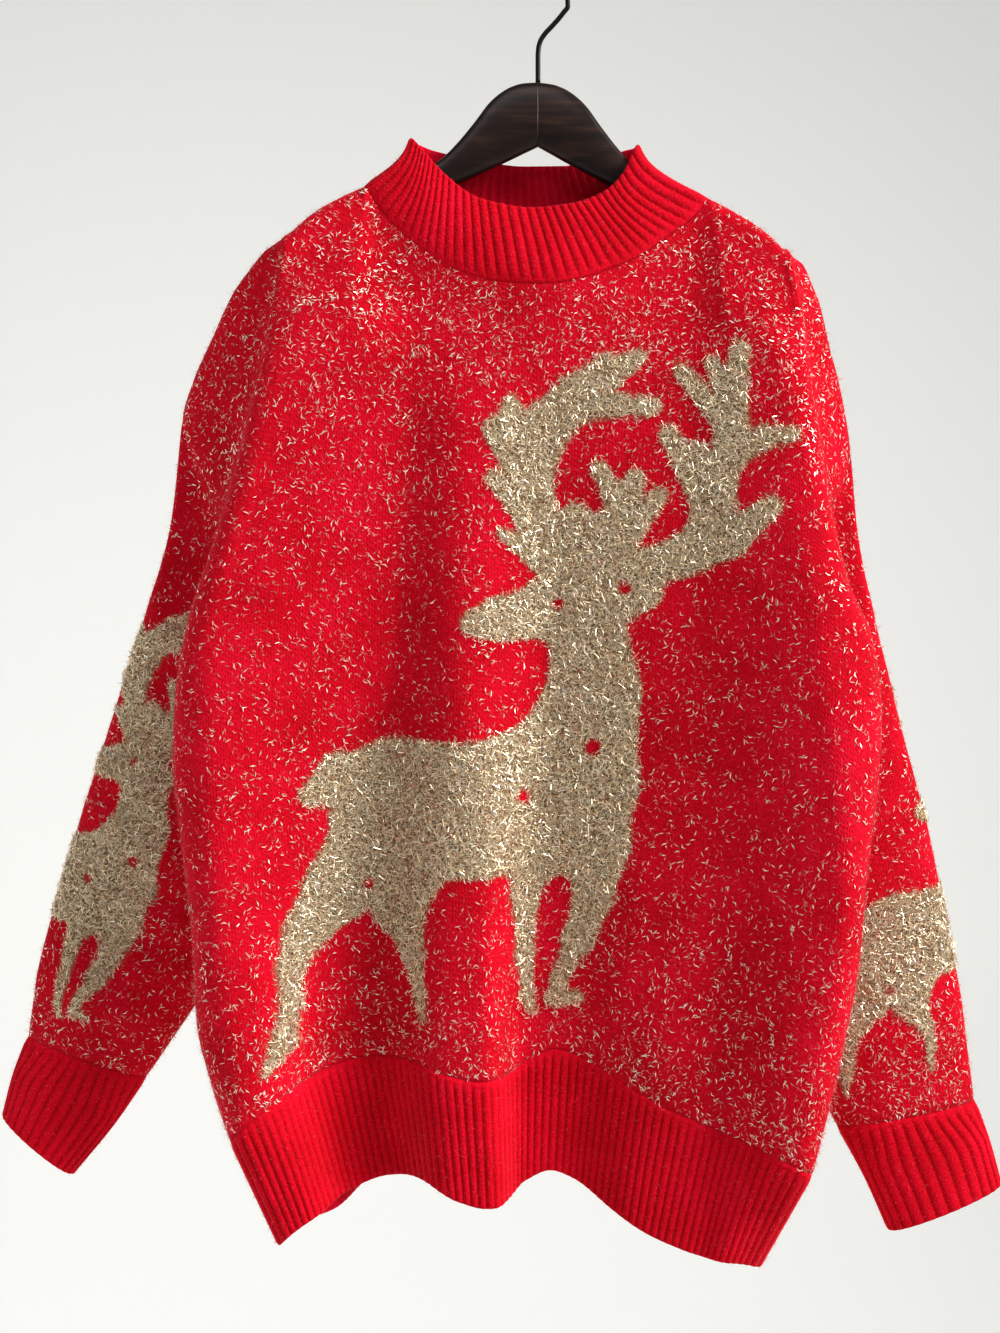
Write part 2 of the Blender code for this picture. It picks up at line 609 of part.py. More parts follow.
def hanger_half(side):
    """One arm of the hanger: rounded sections from the glued joint to the tip."""
    angle = np.linspace(0, 2 * np.pi, 12, endpoint=False) + np.pi / 12
    turn_y = np.sign(np.cos(angle)) * np.abs(np.cos(angle)) ** 0.66
    turn_z = np.sign(np.sin(angle)) * np.abs(np.sin(angle)) ** 0.66
    turn_y, turn_z = turn_y / turn_y.max(), turn_z / turn_z.max()
    sections = []
    for along, top, low, half in HANGER:
        x = side * max(along, 0.15)
        middle, tall = (top + low) / 2 - HANGER_TILT * x, (top - low) / 2
        y = hanger_bow(x) + half * turn_y
        sections.append(np.stack([np.full(12, x), y, middle + tall * turn_z], -1))
    grid = np.array(sections)
    points = grid.reshape(-1, 3)
    faces = []
    for r in range(len(grid) - 1):
        for c in range(12):
            a, b = r * 12 + c, r * 12 + (c + 1) % 12
            faces += [(a, b, b + 12), (a, b + 12, a + 12)]
    last = (len(grid) - 1) * 12
    faces += [(0, c + 1, c) for c in range(1, 11)] + [(last, last + c, last + c + 1) for c in range(1, 11)]
    return points, faces


def hook_line():
    """The middle of the hook's wire, up the stem and round."""
    points = [(x, 0.0, z) for x, z in HOOK_BEND]
    for degrees in np.arange(-6.0, HOOK_END + 1.0, 10.0):
        turn = math.radians(degrees)
        points.append((HOOK_RADIUS * math.cos(turn), 0.0, HOOK_RADIUS * math.sin(turn) - HOOK_RADIUS + WIRE))
    return points


for old in list(bpy.data.objects):
    bpy.data.objects.remove(old)
collection = bpy.data.collections.new(NAME)
bpy.context.scene.collection.children.link(collection)
materials = {}
for label, look in MATERIALS.items():
    material = bpy.data.materials.new(label)
    material.use_nodes = True
    shader = material.node_tree.nodes["Principled BSDF"]
    shader.inputs["Base Color"].default_value = look["color"]
    shader.inputs["Roughness"].default_value = look["roughness"]
    shader.inputs["Metallic"].default_value = look["metallic"]
    materials[label] = material

# Rows down the body: the roll over the wood, the shoulder, the armhole, then down to the hem.
ROWS_SHOULDER = (0.0, 0.004, 0.011, 0.026, 0.055, 0.10, 0.15)
ROWS_ARMHOLE = tuple(np.linspace(0.20, 0.42, 10))
ROWS_BODY = tuple(np.linspace(0.42, 1.0, 11)[1:])
down = np.array(ROWS_SHOULDER + ROWS_ARMHOLE + ROWS_BODY)
armhole_rows = (len(ROWS_SHOULDER), len(ROWS_SHOULDER) + len(ROWS_ARMHOLE) - 1)

TURN_CELLS = 4
s_front, on_face = across_columns(5, SIDE_RIGHT[0][1], SIDE_LEFT[0][1])
front = front_sheet(s_front, on_face, down, np.linspace(0, 1, TURN_CELLS + 1))
on_neck = np.concatenate([np.zeros(TURN_CELLS, bool), on_face, np.zeros(TURN_CELLS, bool)])
s_back = (front[0, :, 0] - front[0, 0, 0]) / (front[0, -1, 0] - front[0, 0, 0])
back = back_sheet(s_back, on_neck, down)
on_shoulder = np.flatnonzero(~on_neck)
front[0, on_shoulder, 1] = hanger_bow(front[0, on_shoulder, 0])
front[0, on_shoulder, 2] = shoulder(front[0, on_shoulder, 0])
back[0, on_shoulder] = front[0, on_shoulder]
for col, edge in ((0, 0), (-1, -1)):
    rows = list(range(armhole_rows[0] + 1)) + list(range(armhole_rows[1], len(down)))
    back[rows, edge] = front[rows, col]

# A seam is a gap all round, a little wider at the tight corners: under the arm, beside the neck and
# at the end of the shoulder. Each entry names an edge, a point on it and how much wider.
all_round = ("top", "low", "first", "last")
low_row = armhole_rows[1]
below_arm = ((-2, 1.2), (-1, 2.5), (0, 2.2), (1, 1.0))
wider = [(edge, low_row + k, more) for edge in ("first", "last") for k, more in below_arm]
wider += [("top", 0, 0.5), ("top", -1, 0.5), ("first", 0, 0.5), ("last", 0, 0.5)]
for end, turn in zip(np.flatnonzero(on_neck)[[0, -1]], (1, -1)):
    wider += [("top", end + turn * k, 0.3) for k in range(-1, 6)]
shoulder_end = slice(1, 4)


def shoulder_nudge(behind):
    """The shoulder seam's own edge, moved in depth so that the two panels stay apart at its end."""
    return [(0, slice(None), behind), (shoulder_end, 0, behind), (shoulder_end, -1, behind)]


sheets = {
    "front": {"grid": front, "closed": False, "out": 1.0, "nudge": shoulder_nudge(-0.16)},
    "back": {"grid": back, "closed": False, "out": -1.0, "nudge": shoulder_nudge(0.16)},
}
for sheet in sheets.values():
    sheet.update(edges=all_round, extra=wider)
along_sleeve = np.concatenate([[0.0, 0.02, 0.05, 0.09], np.linspace(0.14, 1.0, 14)])
half_ring = armhole_rows[1] - armhole_rows[0]
underarm = ((-2, 0.6), (-1, 1.6), (0, 2.8), (1, 4.2), (2, 3.2), (3, 1.6))
SLEEVES = (("sleeve_right", SLEEVE_RIGHT, 0, 1.0), ("sleeve_left", SLEEVE_LEFT, -1, -1.0))
for name, table, edge, out in SLEEVES:
    ring = ring_of(front[:, edge], back[:, edge], armhole_rows)
    grid = sleeve_sheet(table, ring, half_ring, along_sleeve)
    sheets[name] = {"grid": grid, "closed": True, "out": out, "edges": ("top", "low")}
    sheets[name]["extra"] = [("top", half_ring + k, more) for k, more in underarm]
    sheets[name]["nudge"] = [(slice(0, 2), slice(half_ring - 1, half_ring + 3), 0.9)]
for sheet in sheets.values():
    sheet["face"] = facing(sheet["grid"], sheet["closed"], sheet["out"])
shared(sheets)

for name, sheet in sheets.items():
    grid = trimmed(sheet["grid"], sheet["edges"], sheet["extra"])
    for row, col, behind in sheet["nudge"]:
        grid[row, col, 1] += behind
    way = np.arange(grid.shape[1] + sheet["closed"]) / 100.0
    half_wall = sheet["face"] * WALL / 2
    points, faces = wall(grid + half_wall, grid - half_wall, sheet["closed"], way, way)
    add_part(name, points, faces, materials["wool"], collection)

# The ribbed hem: each band hangs from its panel's lowest row and draws in at the sides.
HEMS = (("hem_front", "front", FOLDS_FRONT, 1.0), ("hem_back", "back", FOLDS_BACK, -1.0))
for name, sheet_name, folds, out in HEMS:
    line, face = sheets[sheet_name]["grid"][-1], sheets[sheet_name]["face"][-1]
    way = way_along(line, False)

    def hem_rows(q, line=line, way=way, folds=folds):
        top = place(way, line, q, False)
        rows = []
        for t in (0.0, 0.5, 1.0):
            height = np.full(len(q), float(FOLD_HEIGHTS[-1]))
            deeper = fold_depth(folds, top[:, 0], height, 1.0 + t)[0]
            deeper = deeper - fold_depth(folds, top[:, 0], height, 1.0)[0]
            inside = smooth((top[:, 0] - line[0, 0]) / 60.0) * smooth((line[-1, 0] - top[:, 0]) / 60.0)
            back_lean = HEM_SIDE_LEAN * (1.0 - inside) * (1.0 + 0.25 * np.sign(top[:, 0]))
            spread = 0.13 * (top[:, 1] + 26.0) * inside + back_lean
            lean = np.stack([-0.155 * (top[:, 0] + 12.0), spread, 0 * q], -1) * t
            fall = np.sqrt((HEM_DROP * t) ** 2 - lean[:, 0] ** 2 - (back_lean * t) ** 2)
            lean[:, 1] += deeper * inside
            lean[:, 2] = -fall
            rows.append(top + lean)
        return np.array(rows)

    def hem_face(q, face=face, way=way):
        return place(way, face, q, False)

    points, faces = ribbed(hem_rows, way, False, HEM_RIBS, hem_face, out, 0)
    add_part(name, points, faces, materials["ribbed wool"], collection)

CUFFS = (("cuff_right", "sleeve_right", CUFF_RIGHT, 1.0), ("cuff_left", "sleeve_left", CUFF_LEFT, -1.0))
for name, sleeve_name, table, out in CUFFS:
    ring, face = sheets[sleeve_name]["grid"][-1], sheets[sleeve_name]["face"][-1]
    way = way_along(ring, True)
    angles = ring_angles(ring, half_ring)

    def cuff_rows(q, ring=ring, way=way, angles=angles, table=table):
        turn = np.interp(q, way, np.append(angles, 2 * np.pi))
        start = place(way, ring, q, True)
        shift = start - sleeve_section(table, 0.0, turn, 0.85)
        rows = []
        for t in (0.0, 0.33, 0.66, 1.0):
            rows.append(sleeve_section(table, t, turn, 0.85) + shift * (1.0 - smooth(t / 0.5)))
        return np.array(rows)

    def cuff_face(q, face=face, way=way):
        return place(way, face, q, True)

    points, faces = ribbed(cuff_rows, way, True, CUFF_RIBS, cuff_face, out, 0)
    add_part(name, points, faces, materials["ribbed wool"], collection)

# The collar: one ring round both panels' neck edges.
a, b = np.flatnonzero(on_neck)[[0, -1]]
line = np.concatenate([front[0, a:b], back[0, b:a:-1]])
face = np.concatenate([sheets["front"]["face"][0, a:b], sheets["back"]["face"][0, b:a:-1]])
way = way_along(line, True)
turn_point = way[b - a]


def collar_rows(q):
    base = place(way, line, q, True)
    part = np.where(q <= turn_point, 0.5 * q / turn_point, 0.5 + 0.5 * (q - turn_point) / (1.0 - turn_point))
    round_top = [row[0] for row in COLLAR_TOP]
    top = np.stack([follow(round_top, [row[k] for row in COLLAR_TOP], part) for k in (1, 2, 3)], -1)
    rows = []
    for t in (0.0, 0.3, 0.65, 1.0):
        row = base + (top - base) * t
        hollow = 0.22 * math.sin(math.pi * t) * smooth((np.abs(base[:, 0]) - 45.0) / 60.0)
        row[:, 0] += (top - base)[:, 0] * hollow
        swell = 2.5 * math.sin(math.pi * t)
        row[:, 1] += np.sign(row[:, 1]) * np.minimum(np.abs(row[:, 1]) / 8.0, 1.0) * swell
        rows.append(row)
    return np.array(rows[::-1])


def collar_face(q):
    return place(way, face, q, True)


points, faces = ribbed(collar_rows, way, True, COLLAR_RIBS, collar_face, 1.0, -1)
add_part("collar", points, faces, materials["ribbed wool"], collection)

for name, side in (("hanger_right", -1.0), ("hanger_left", 1.0)):
    points, faces = hanger_half(side)
    add_part(name, points, faces, materials["dark wood"], collection)
add_tube("hook", hook_line(), WIRE, materials["black steel"], collection)
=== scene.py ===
# %% [markdown]
# # A knitted christmas sweater on its wooden hanger
# The CAD part already has the hanging cloth, the wood and the wire at their real sizes. This script
# dresses it: fine knitted shells with soft folds, rounded ribs, a reindeer of metallic hair, loose
# metallic hairs all over, and the fuzz that brushed wool has. Every piece is made in the part's own
# frame, so nothing is fitted by eye. +Z is up, the front faces -Y, and right and left are the wearer's.

# %% Start from the fixed part
import math

import bpy
import numpy as np
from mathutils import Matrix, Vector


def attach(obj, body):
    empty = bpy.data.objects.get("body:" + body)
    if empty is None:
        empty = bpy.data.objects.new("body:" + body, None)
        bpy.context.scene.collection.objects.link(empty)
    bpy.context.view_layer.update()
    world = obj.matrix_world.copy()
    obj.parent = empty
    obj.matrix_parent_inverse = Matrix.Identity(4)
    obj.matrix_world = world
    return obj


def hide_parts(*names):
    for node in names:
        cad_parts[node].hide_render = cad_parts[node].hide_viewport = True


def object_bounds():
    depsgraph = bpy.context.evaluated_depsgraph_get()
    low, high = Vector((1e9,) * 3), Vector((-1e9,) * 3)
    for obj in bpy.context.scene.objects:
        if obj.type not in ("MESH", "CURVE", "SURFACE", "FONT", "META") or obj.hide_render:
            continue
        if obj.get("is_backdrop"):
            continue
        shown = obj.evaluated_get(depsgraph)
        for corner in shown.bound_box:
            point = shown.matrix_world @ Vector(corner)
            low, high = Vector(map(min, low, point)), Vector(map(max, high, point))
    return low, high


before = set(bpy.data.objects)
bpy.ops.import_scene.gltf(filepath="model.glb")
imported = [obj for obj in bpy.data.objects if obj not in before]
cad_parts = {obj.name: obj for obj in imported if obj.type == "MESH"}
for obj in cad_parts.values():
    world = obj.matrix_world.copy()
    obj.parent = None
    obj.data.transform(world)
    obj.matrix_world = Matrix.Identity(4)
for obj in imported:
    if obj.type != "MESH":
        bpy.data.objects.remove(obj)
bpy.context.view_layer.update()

MM = 0.001  # the tables below are in millimetres

# %% [markdown]
# ## Sizes
# A garment is easiest to shape from a few tables, as a pattern cutter does. Each table is read with
# `follow`, a curve that goes through its rows and never swings past them, so a fold stays where it is
# put. They are the rows of the part's own source, because the fine cloth has to lie where the plain
# cloth lies. Only four of the front's long folds are up to 8 mm deeper or further across here, and
# three spans between them fall more evenly, since fine cloth can bend more sharply than plain cloth.

# %% Driving sizes
WALL = 2.2  # thickness of the knitted cloth
SEAM_GAP = 0.4  # space between two pieces at a seam
RIB_HEIGHT = 0.95  # how far a rib stands above the wall
HEM_DROP = 82.0  # height of the ribbed band at the bottom
HEM_SIDE_LEAN = 24.0  # how far the band leans back at its sides
HEM_RIBS = 88  # ribs across one side of the hem
COLLAR_RIBS = 72  # ribs round the collar
CUFF_RIBS = 28  # ribs round a cuff
HANGER_TILT = 0.04  # slope of the hanger, lower at the wearer's left
WIRE = 1.7  # radius of the hook's wire
HOOK_RADIUS = 20.3  # from the hook's middle to the middle of the wire
ROLL = 10.3  # how far the cloth stands off the hanger's middle plane
SEAM_DIP = 0.4  # how far a seam draws the cloth in
print("the cloth is", WALL, "mm thick, and the hem is", HEM_DROP, "mm tall with", HEM_RIBS, "ribs a side")

# %% The hanger
# The wooden hanger from its middle outwards: distance along, top edge, lower edge, half thickness.
HANGER = (
    (0.0, -72.4, -115.9, 6.0),
    (10.0, -73.4, -121.0, 6.0),
    (18.0, -76.0, -125.2, 6.0),
    (26.0, -81.0, -129.2, 6.0),
    (33.0, -87.5, -132.7, 6.0),
    (43.0, -101.0, -137.7, 6.0),
    (55.0, -116.0, -143.7, 6.0),
    (67.0, -128.0, -149.8, 6.0),
    (90.0, -139.9, -161.5, 5.9),
    (118.0, -153.2, -174.5, 5.7),
    (145.0, -169.2, -187.4, 5.1),
    (154.0, -176.5, -192.0, 4.4),
    (160.5, -183.0, -195.4, 3.4),
    (164.5, -188.2, -197.4, 2.0),
)
print("the hanger is", 2 * HANGER[-1][0], "mm wide")

# %% The sides of the body, and the way the cloth turns there
# Down one side of the body: how far down, the outermost fold (x, y, z), the seam behind it (x, y, z).
# The seam is the shoulder seam to 0.20, the armhole to 0.42 and the side seam below that.
SIDE = ("down", "fold_x", "fold_y", "fold_z", "seam_x", "seam_y", "seam_z")
SIDE_RIGHT = (
    (0.00, -170, -13, -180, -184, -14, -193),
    (0.012, -170, -22, -187, -188, -13, -197),
    (0.03, -171, -25, -202, -196, -10, -206),
    (0.05, -174, -27, -223, -206, -6, -218),
    (0.10, -179, -31, -252, -221, 1, -246),
    (0.15, -185, -33, -282, -235, 7, -274),
    (0.20, -192, -34, -311, -243, 10, -301),
    (0.275, -204, -34, -356, -224, 0, -348),
    (0.35, -218, -32, -400, -203, -7, -395),
    (0.42, -230, -31, -436, -181, 2, -438),
    (0.50, -239, -30, -485, -196, -10, -485),
    (0.58, -241, -30, -531, -209, -12, -532),
    (0.68, -235, -31, -588, -218, -14, -590),
    (0.78, -228, -33, -646, -219, -16, -649),
    (0.88, -224, -36, -703, -217, -19, -707),
    (0.95, -214, -38, -743, -210, -22, -745),
    (1.00, -202, -40, -778, -198, -25, -776),
)
SIDE_LEFT = (
    (0.00, 166, -13, -189, 177, -14, -200.5),
    (0.012, 167, -22, -196, 180, -12, -204.5),
    (0.03, 169, -25, -210, 184, -9, -212.5),
    (0.05, 172, -27, -227, 189, -6, -222),
    (0.10, 175, -31, -259, 198, 1, -252),
    (0.15, 179, -33, -290, 207, 6, -283),
    (0.20, 184, -34, -320, 214, 10, -324),
    (0.275, 193, -34, -373, 193, 0, -370),
    (0.35, 204, -32, -416, 171, -7, -418),
    (0.42, 220, -31, -455, 153, 2, -458),
    (0.50, 225, -32, -501, 169, -10, -502),
    (0.58, 222, -34, -547, 184, -12, -549),
    (0.68, 214, -36, -605, 193, -14, -608),
    (0.78, 208, -40, -663, 193, -18, -667),
    (0.88, 197, -44, -717, 189, -22, -722),
    (0.95, 187, -46, -758, 181, -26, -761),
    (1.00, 177, -46, -795, 173, -28, -796),
)
# The back panel's edge along the armhole, and how the cloth turns between fold and seam:
# how far down, reach inwards and in depth at the seam, reach in depth at the fold.
ARMHOLE = ("down", "x", "y", "z")
ARMHOLE_RIGHT = (
    (0.20, -243, 10, -301),
    (0.275, -231, 26, -345),
    (0.35, -214, 30, -392),
    (0.42, -181, 2, -438),
)
ARMHOLE_LEFT = (
    (0.20, 214, 10, -324),
    (0.275, 200, 26, -367),
    (0.35, 183, 30, -416),
    (0.42, 153, 2, -458),
)
TURN = (
    (0.00, 3.0, -1.0, 0.5),
    (0.05, 6.0, -8.0, 8.0),
    (0.10, 10.0, -12.0, 16.0),
    (0.20, 14.0, -16.0, 24.0),
    (0.275, 2.0, -9.0, 20.0),
    (0.35, 0.0, -7.0, 16.0),
    (0.42, 0.0, -8.0, 12.0),
    (0.50, -6.0, -5.0, 9.0),
    (0.60, -8.0, -3.0, 8.0),
    (1.00, -6.0, -3.0, 7.0),
)
print("the body is", SIDE_LEFT[0][1] - SIDE_RIGHT[0][1], "mm wide at the top")

# %% The neck and the hem seam
# The neck's edge, left to right as seen: x, y, z. It crosses the wood before it drops.
NECK_FRONT = (
    (-118, -2.6, -145.7), (-117.2, -8.6, -146.1), (-115.8, -10.9, -148.3), (-112, -11.3, -154.6),
    (-105, -12.1, -163.9), (-96, -13.4, -174.6), (-73, -17.5, -194), (-53, -21, -206), (-30, -24, -213),
    (1, -26, -215.5), (11, -26, -215), (32, -24, -210), (53, -21, -202), (70, -17.5, -193),
    (86, -14.6, -181.2), (101, -12.1, -169.8), (110, -11.2, -160.6), (113.8, -10.9, -156.9),
    (115.2, -8.4, -154.5), (116, -2.4, -154),
)
NECK_BACK = (
    (-118, -2.6, -145.7), (-117.2, 3.8, -146.1), (-115.8, 7.4, -147.9), (-112, 9, -153.1),
    (-104, 11, -159.9), (-85, 15, -168.2), (-50, 21, -176), (0, 24, -179), (50, 21, -177),
    (85, 15, -171.2), (102, 11, -165.3), (110, 9, -159.6), (113.8, 7.4, -156.5), (115.2, 3.8, -154.5),
    (116, -2.4, -154),
)
# The hem seam, left to right as seen: x, z.
HEM_SEAM_FRONT = (
    (-202, -778), (-190, -765), (-169, -750), (-140, -737), (-116, -730), (-87, -728), (-60, -736),
    (-40, -740), (-21, -740), (-8, -733), (12, -726), (28, -730), (59, -746), (88, -761), (124, -774),
    (147, -781), (166, -790), (177, -795),
)
HEM_SEAM_BACK = (
    (-198, -776), (-150, -754), (-100, -743), (-40, -738), (30, -741), (90, -753), (140, -774), (173, -796),
)
print("the neck is", NECK_FRONT[-1][0] - NECK_FRONT[0][0], "mm wide")

# %% The long folds
# Folds that run down a panel: where each is across (x) and in depth (y), at five heights.
FOLD_HEIGHTS = (-240, -400, -455, -615, -750)
FOLDS_FRONT = (
    ("crest right", (-160, -202, -214, -208, -191), (-36, -45, -48, -54, -60)),
    ("dip right", (-85, -93, -97, -126, -131), (-27, -25, -23, -17, -14)),
    ("crest middle", (-49, -51, -51, -44, -43), (-29, -35, -38, -42, -44)),
    ("dip middle", (14, 12, 11, 2, -3), (-27, -22, -19, -14, -12)),
    ("shelf", (100, 99, 99, 105, 106), (-27, -32, -33, -37, -40)),
    ("crest left", (150, 172, 180, 192, 168), (-35, -51, -58, -66, -67)),
)
FOLDS_BACK = (
    ("recess right", (-195, -196, -180, -172, -178), (26, 28, 1, -2, -14)),
    ("crest right", (-120, -118, -112, -116, -120), (28, 31, 33, 35, 36)),
    ("dip right", (-62, -58, -58, -60, -66), (27, 25, 22, 16, 12)),
    ("crest middle", (-4, 0, 2, 6, 10), (29, 33, 36, 38, 40)),
    ("dip left", (52, 50, 50, 54, 52), (27, 24, 21, 15, 10)),
    ("crest left", (98, 92, 88, 92, 96), (28, 31, 33, 34, 34)),
    ("recess left", (170, 168, 150, 142, 146), (26, 28, 1, -4, -18)),
)
# Spans between two of the front's folds that fall evenly: how rounded they are, and how they set out.
EVEN_FALL = {0: (0.45, 1.0), 3: (0.10, 1.15), 4: (0.30, 1.0)}
print(len(FOLDS_FRONT), "folds run down the front and", len(FOLDS_BACK), "down the back")

# %% The sleeves and the cuffs
# A sleeve: how far along, its upper edge (x, y, z), its under edge (x, y, z), half its depth.
SLEEVE = ("along", "top_x", "top_y", "top_z", "under_x", "under_y", "under_z", "depth")
SLEEVE_RIGHT = (
    (0.00, -243, 10, -301, -181, 2, -438, 16),
    (0.15, -252, 15, -372, -181, 12, -478, 15),
    (0.28, -266, 17, -423, -181, 17, -516, 17),
    (0.40, -283, 19, -473, -182, 20, -551, 18),
    (0.52, -300, 21, -526, -188, 22, -586, 18),
    (0.64, -316, 22, -576, -197, 23, -621, 17),
    (0.76, -332, 23, -629, -209, 23, -656, 17),
    (0.88, -344, 22, -676, -232, 22, -694, 18),
    (1.00, -351, 20, -724, -271, 20, -752, 14),
)
SLEEVE_LEFT = (
    (0.00, 214, 10, -324, 153, 2, -458, 16),
    (0.15, 220, 15, -379, 150, 8, -499, 15),
    (0.28, 229, 17, -425, 152, 16, -537, 17),
    (0.40, 242, 19, -476, 154, 20, -572, 18),
    (0.52, 256, 21, -531, 159, 22, -610, 18),
    (0.64, 270, 22, -583, 165, 23, -649, 17),
    (0.76, 281, 23, -635, 171, 23, -690, 17),
    (0.88, 291, 22, -690, 184, 22, -735, 18),
    (1.00, 301, 20, -768, 208, 20, -786, 15),
)
CUFF_RIGHT = (
    (0.0, -351, 20, -724, -271, 20, -752, 14),
    (0.5, -361, 19, -752, -294, 19, -785, 13),
    (1.0, -368, 18, -780, -322, 18, -819, 12),
)
CUFF_LEFT = (
    (0.0, 301, 20, -768, 208, 20, -786, 15),
    (0.5, 311, 19, -797, 228, 19, -822, 14),
    (1.0, 319, 18, -827, 244, 18, -858, 13),
)
print(len(SLEEVE_RIGHT), "sections shape a sleeve and", len(CUFF_RIGHT), "its cuff")

# %% The collar's top edge and the hook
# The collar's top edge, round from the wearer's right: part of the way round, x, y, z.
COLLAR_TOP = (
    (0.000, -86, 0, -111), (0.02, -85, -5, -112), (0.045, -81, -8, -117), (0.09, -74, -10.5, -126),
    (0.14, -62, -12, -139), (0.20, -40, -14.5, -155), (0.27, -6, -16, -162), (0.34, 22, -15.5, -159),
    (0.40, 43, -13.5, -151), (0.45, 57, -10.5, -137), (0.475, 63, -8, -124), (0.49, 66, -5, -117),
    (0.500, 67, 0, -115), (0.515, 66, 5, -115), (0.535, 63, 8, -115), (0.59, 48, 12, -118),
    (0.68, 18, 15, -124), (0.76, -10, 16, -124), (0.85, -44, 13.5, -120), (0.93, -72, 10, -115),
    (0.965, -81, 8, -112), (0.985, -85, 5, -111), (1.000, -86, 0, -111),
)
# The hook's bend between its stem and its round part: x, z.
HOOK_BEND = (
    (0.0, -72.0), (0.0, -64.0), (0.0, -54.0), (0.4, -48.5), (1.8, -43.6), (4.6, -39.2), (9.4, -34.0),
    (14.2, -28.6), (17.8, -24.0),
)
HOOK_END = 166.0  # degrees round at which the wire stops
print("the hook's round part turns through", HOOK_END, "degrees")

# %% Soft creases
# Small soft creases. On a panel: across, height, length, width, slant in degrees, depth.
CREASES_FRONT = (
    (-196, -372, 70, 10, 72, 1.6),
    (172, -330, 60, 10, -76, 1.6),
    (-20, -300, 50, 14, 84, 0.8),
    (62, -650, 70, 13, 80, 1.2),
    (-92, -690, 60, 11, 84, 1.4),
    (-14, -700, 55, 11, -82, 1.2),
)
CREASES_BACK = (
    (-120, -330, 80, 12, 50, 2.4),
    (115, -350, 80, 12, -50, 2.4),
    (-60, -520, 90, 12, 76, 2.0),
    (40, -600, 90, 12, -78, 2.0),
    (0, -300, 70, 14, 88, 1.6),
)
# On a sleeve: along (0 to 1), angle round it (0 outer edge, 1 under edge), length, width, depth.
CREASES_SLEEVE = (
    (0.30, 0.30, 0.030, 0.45, 3.2),
    (0.36, 0.70, 0.022, 0.35, 2.4),
    (0.47, 0.45, 0.028, 0.40, -2.8),
    (0.55, 0.25, 0.020, 0.30, 2.0),
    (0.63, 0.35, 0.030, 0.45, 2.8),
    (0.72, 0.62, 0.020, 0.30, -2.0),
    (0.80, 0.55, 0.026, 0.35, -2.8),
    (0.92, 0.50, 0.026, 0.60, 3.4),
)
print(len(CREASES_FRONT) + len(CREASES_BACK), "creases on the body and", len(CREASES_SLEEVE), "on a sleeve")

# %% [markdown]
# ## Reading the tables
# These are the small tools that every piece uses: an easing curve, the table reader, and the depth of
# a panel at any place, which is an eased step from one fold's crest to the next fold's dip. Curves
# would do for one edge, but a number for every place on the cloth is easiest to work out in numpy.

# %% Table tools
def smooth(q):
    """Ease from 0 to 1, level at both ends."""
    q = np.clip(q, 0.0, 1.0)
    return q * q * (3.0 - 2.0 * q)


def follow(xs, ys, q):
    """A curve through a table's rows that never swings past them."""
    xs, ys = np.asarray(xs, float), np.asarray(ys, float)
    h = np.diff(xs)
    d = np.diff(ys) / h
    m = np.concatenate([d[:1], np.zeros(len(d) - 1), d[-1:]])
    for k in range(1, len(d)):
        if d[k - 1] * d[k] > 0.0:
            m[k] = 2.0 * d[k - 1] * d[k] / (d[k - 1] + d[k])
    q = np.clip(np.asarray(q, float), xs[0], xs[-1])
    k = np.clip(np.searchsorted(xs, q, side="right") - 1, 0, len(h) - 1)
    t = (q - xs[k]) / h[k]
    a = (1.0 + 2.0 * t) * (1.0 - t) ** 2 * ys[k] + t * (1.0 - t) ** 2 * h[k] * m[k]
    return a + t * t * (3.0 - 2.0 * t) * ys[k + 1] + t * t * (t - 1.0) * h[k] * m[k + 1]


def column(table, names, name, q):
    """The named column of a table at q, its first column being the way along."""
    return follow([row[0] for row in table], [row[names.index(name)] for row in table], q)


def columns(table, names, wanted, q):
    """Some named columns as one point for each q."""
    return np.stack([column(table, names, name, q) for name in wanted], axis=-1)


print("half way down, the left outer fold is at x =", round(float(column(SIDE_LEFT, SIDE, "fold_x", 0.5)), 1))

# %% The shoulder rests on the wood
BOW_FROM, BOW_RUN, BOW = 90.0, 78.0, 12.0  # the arms bow from here, over this stretch, forward by this
ARM_END = 162.0  # where the shoulder leaves the wood
ABOVE_WOOD = 3.1  # height of the shoulder seam above the wood
SHOULDER_FALL = 0.75  # slope of the shoulder past the wood


def hanger_top(x):
    """Height of the wood's top edge at x."""
    along = [row[0] for row in HANGER]
    return follow(along, [row[1] for row in HANGER], np.abs(x)) - HANGER_TILT * np.asarray(x)


def hanger_bow(x):
    """How far forward the wood is at x: its arms curve forward towards their ends."""
    return -BOW * (np.maximum(np.abs(x) - BOW_FROM, 0.0) / BOW_RUN) ** 1.5


def shoulder(x):
    """Height of the shoulder seam: it rests just above the wood, then drops past its end."""
    beyond = np.maximum(np.abs(x) - ARM_END, 0.0)
    return hanger_top(np.clip(x, -ARM_END, ARM_END)) + ABOVE_WOOD - SHOULDER_FALL * beyond


def top_line(neck, x, across_neck):
    """Height of a panel's top edge, on the shoulder or round the neck."""
    return np.where(across_neck, follow([p[0] for p in neck], [p[2] for p in neck], x), shoulder(x))


print("the shoulder seam falls", round(float(shoulder(120.0) - shoulder(170.0)), 1), "mm over its last 50")

# %% The folds hang from it
EVEN_LOST = 0.7  # part of an even fall that is lost where the folds are sharp


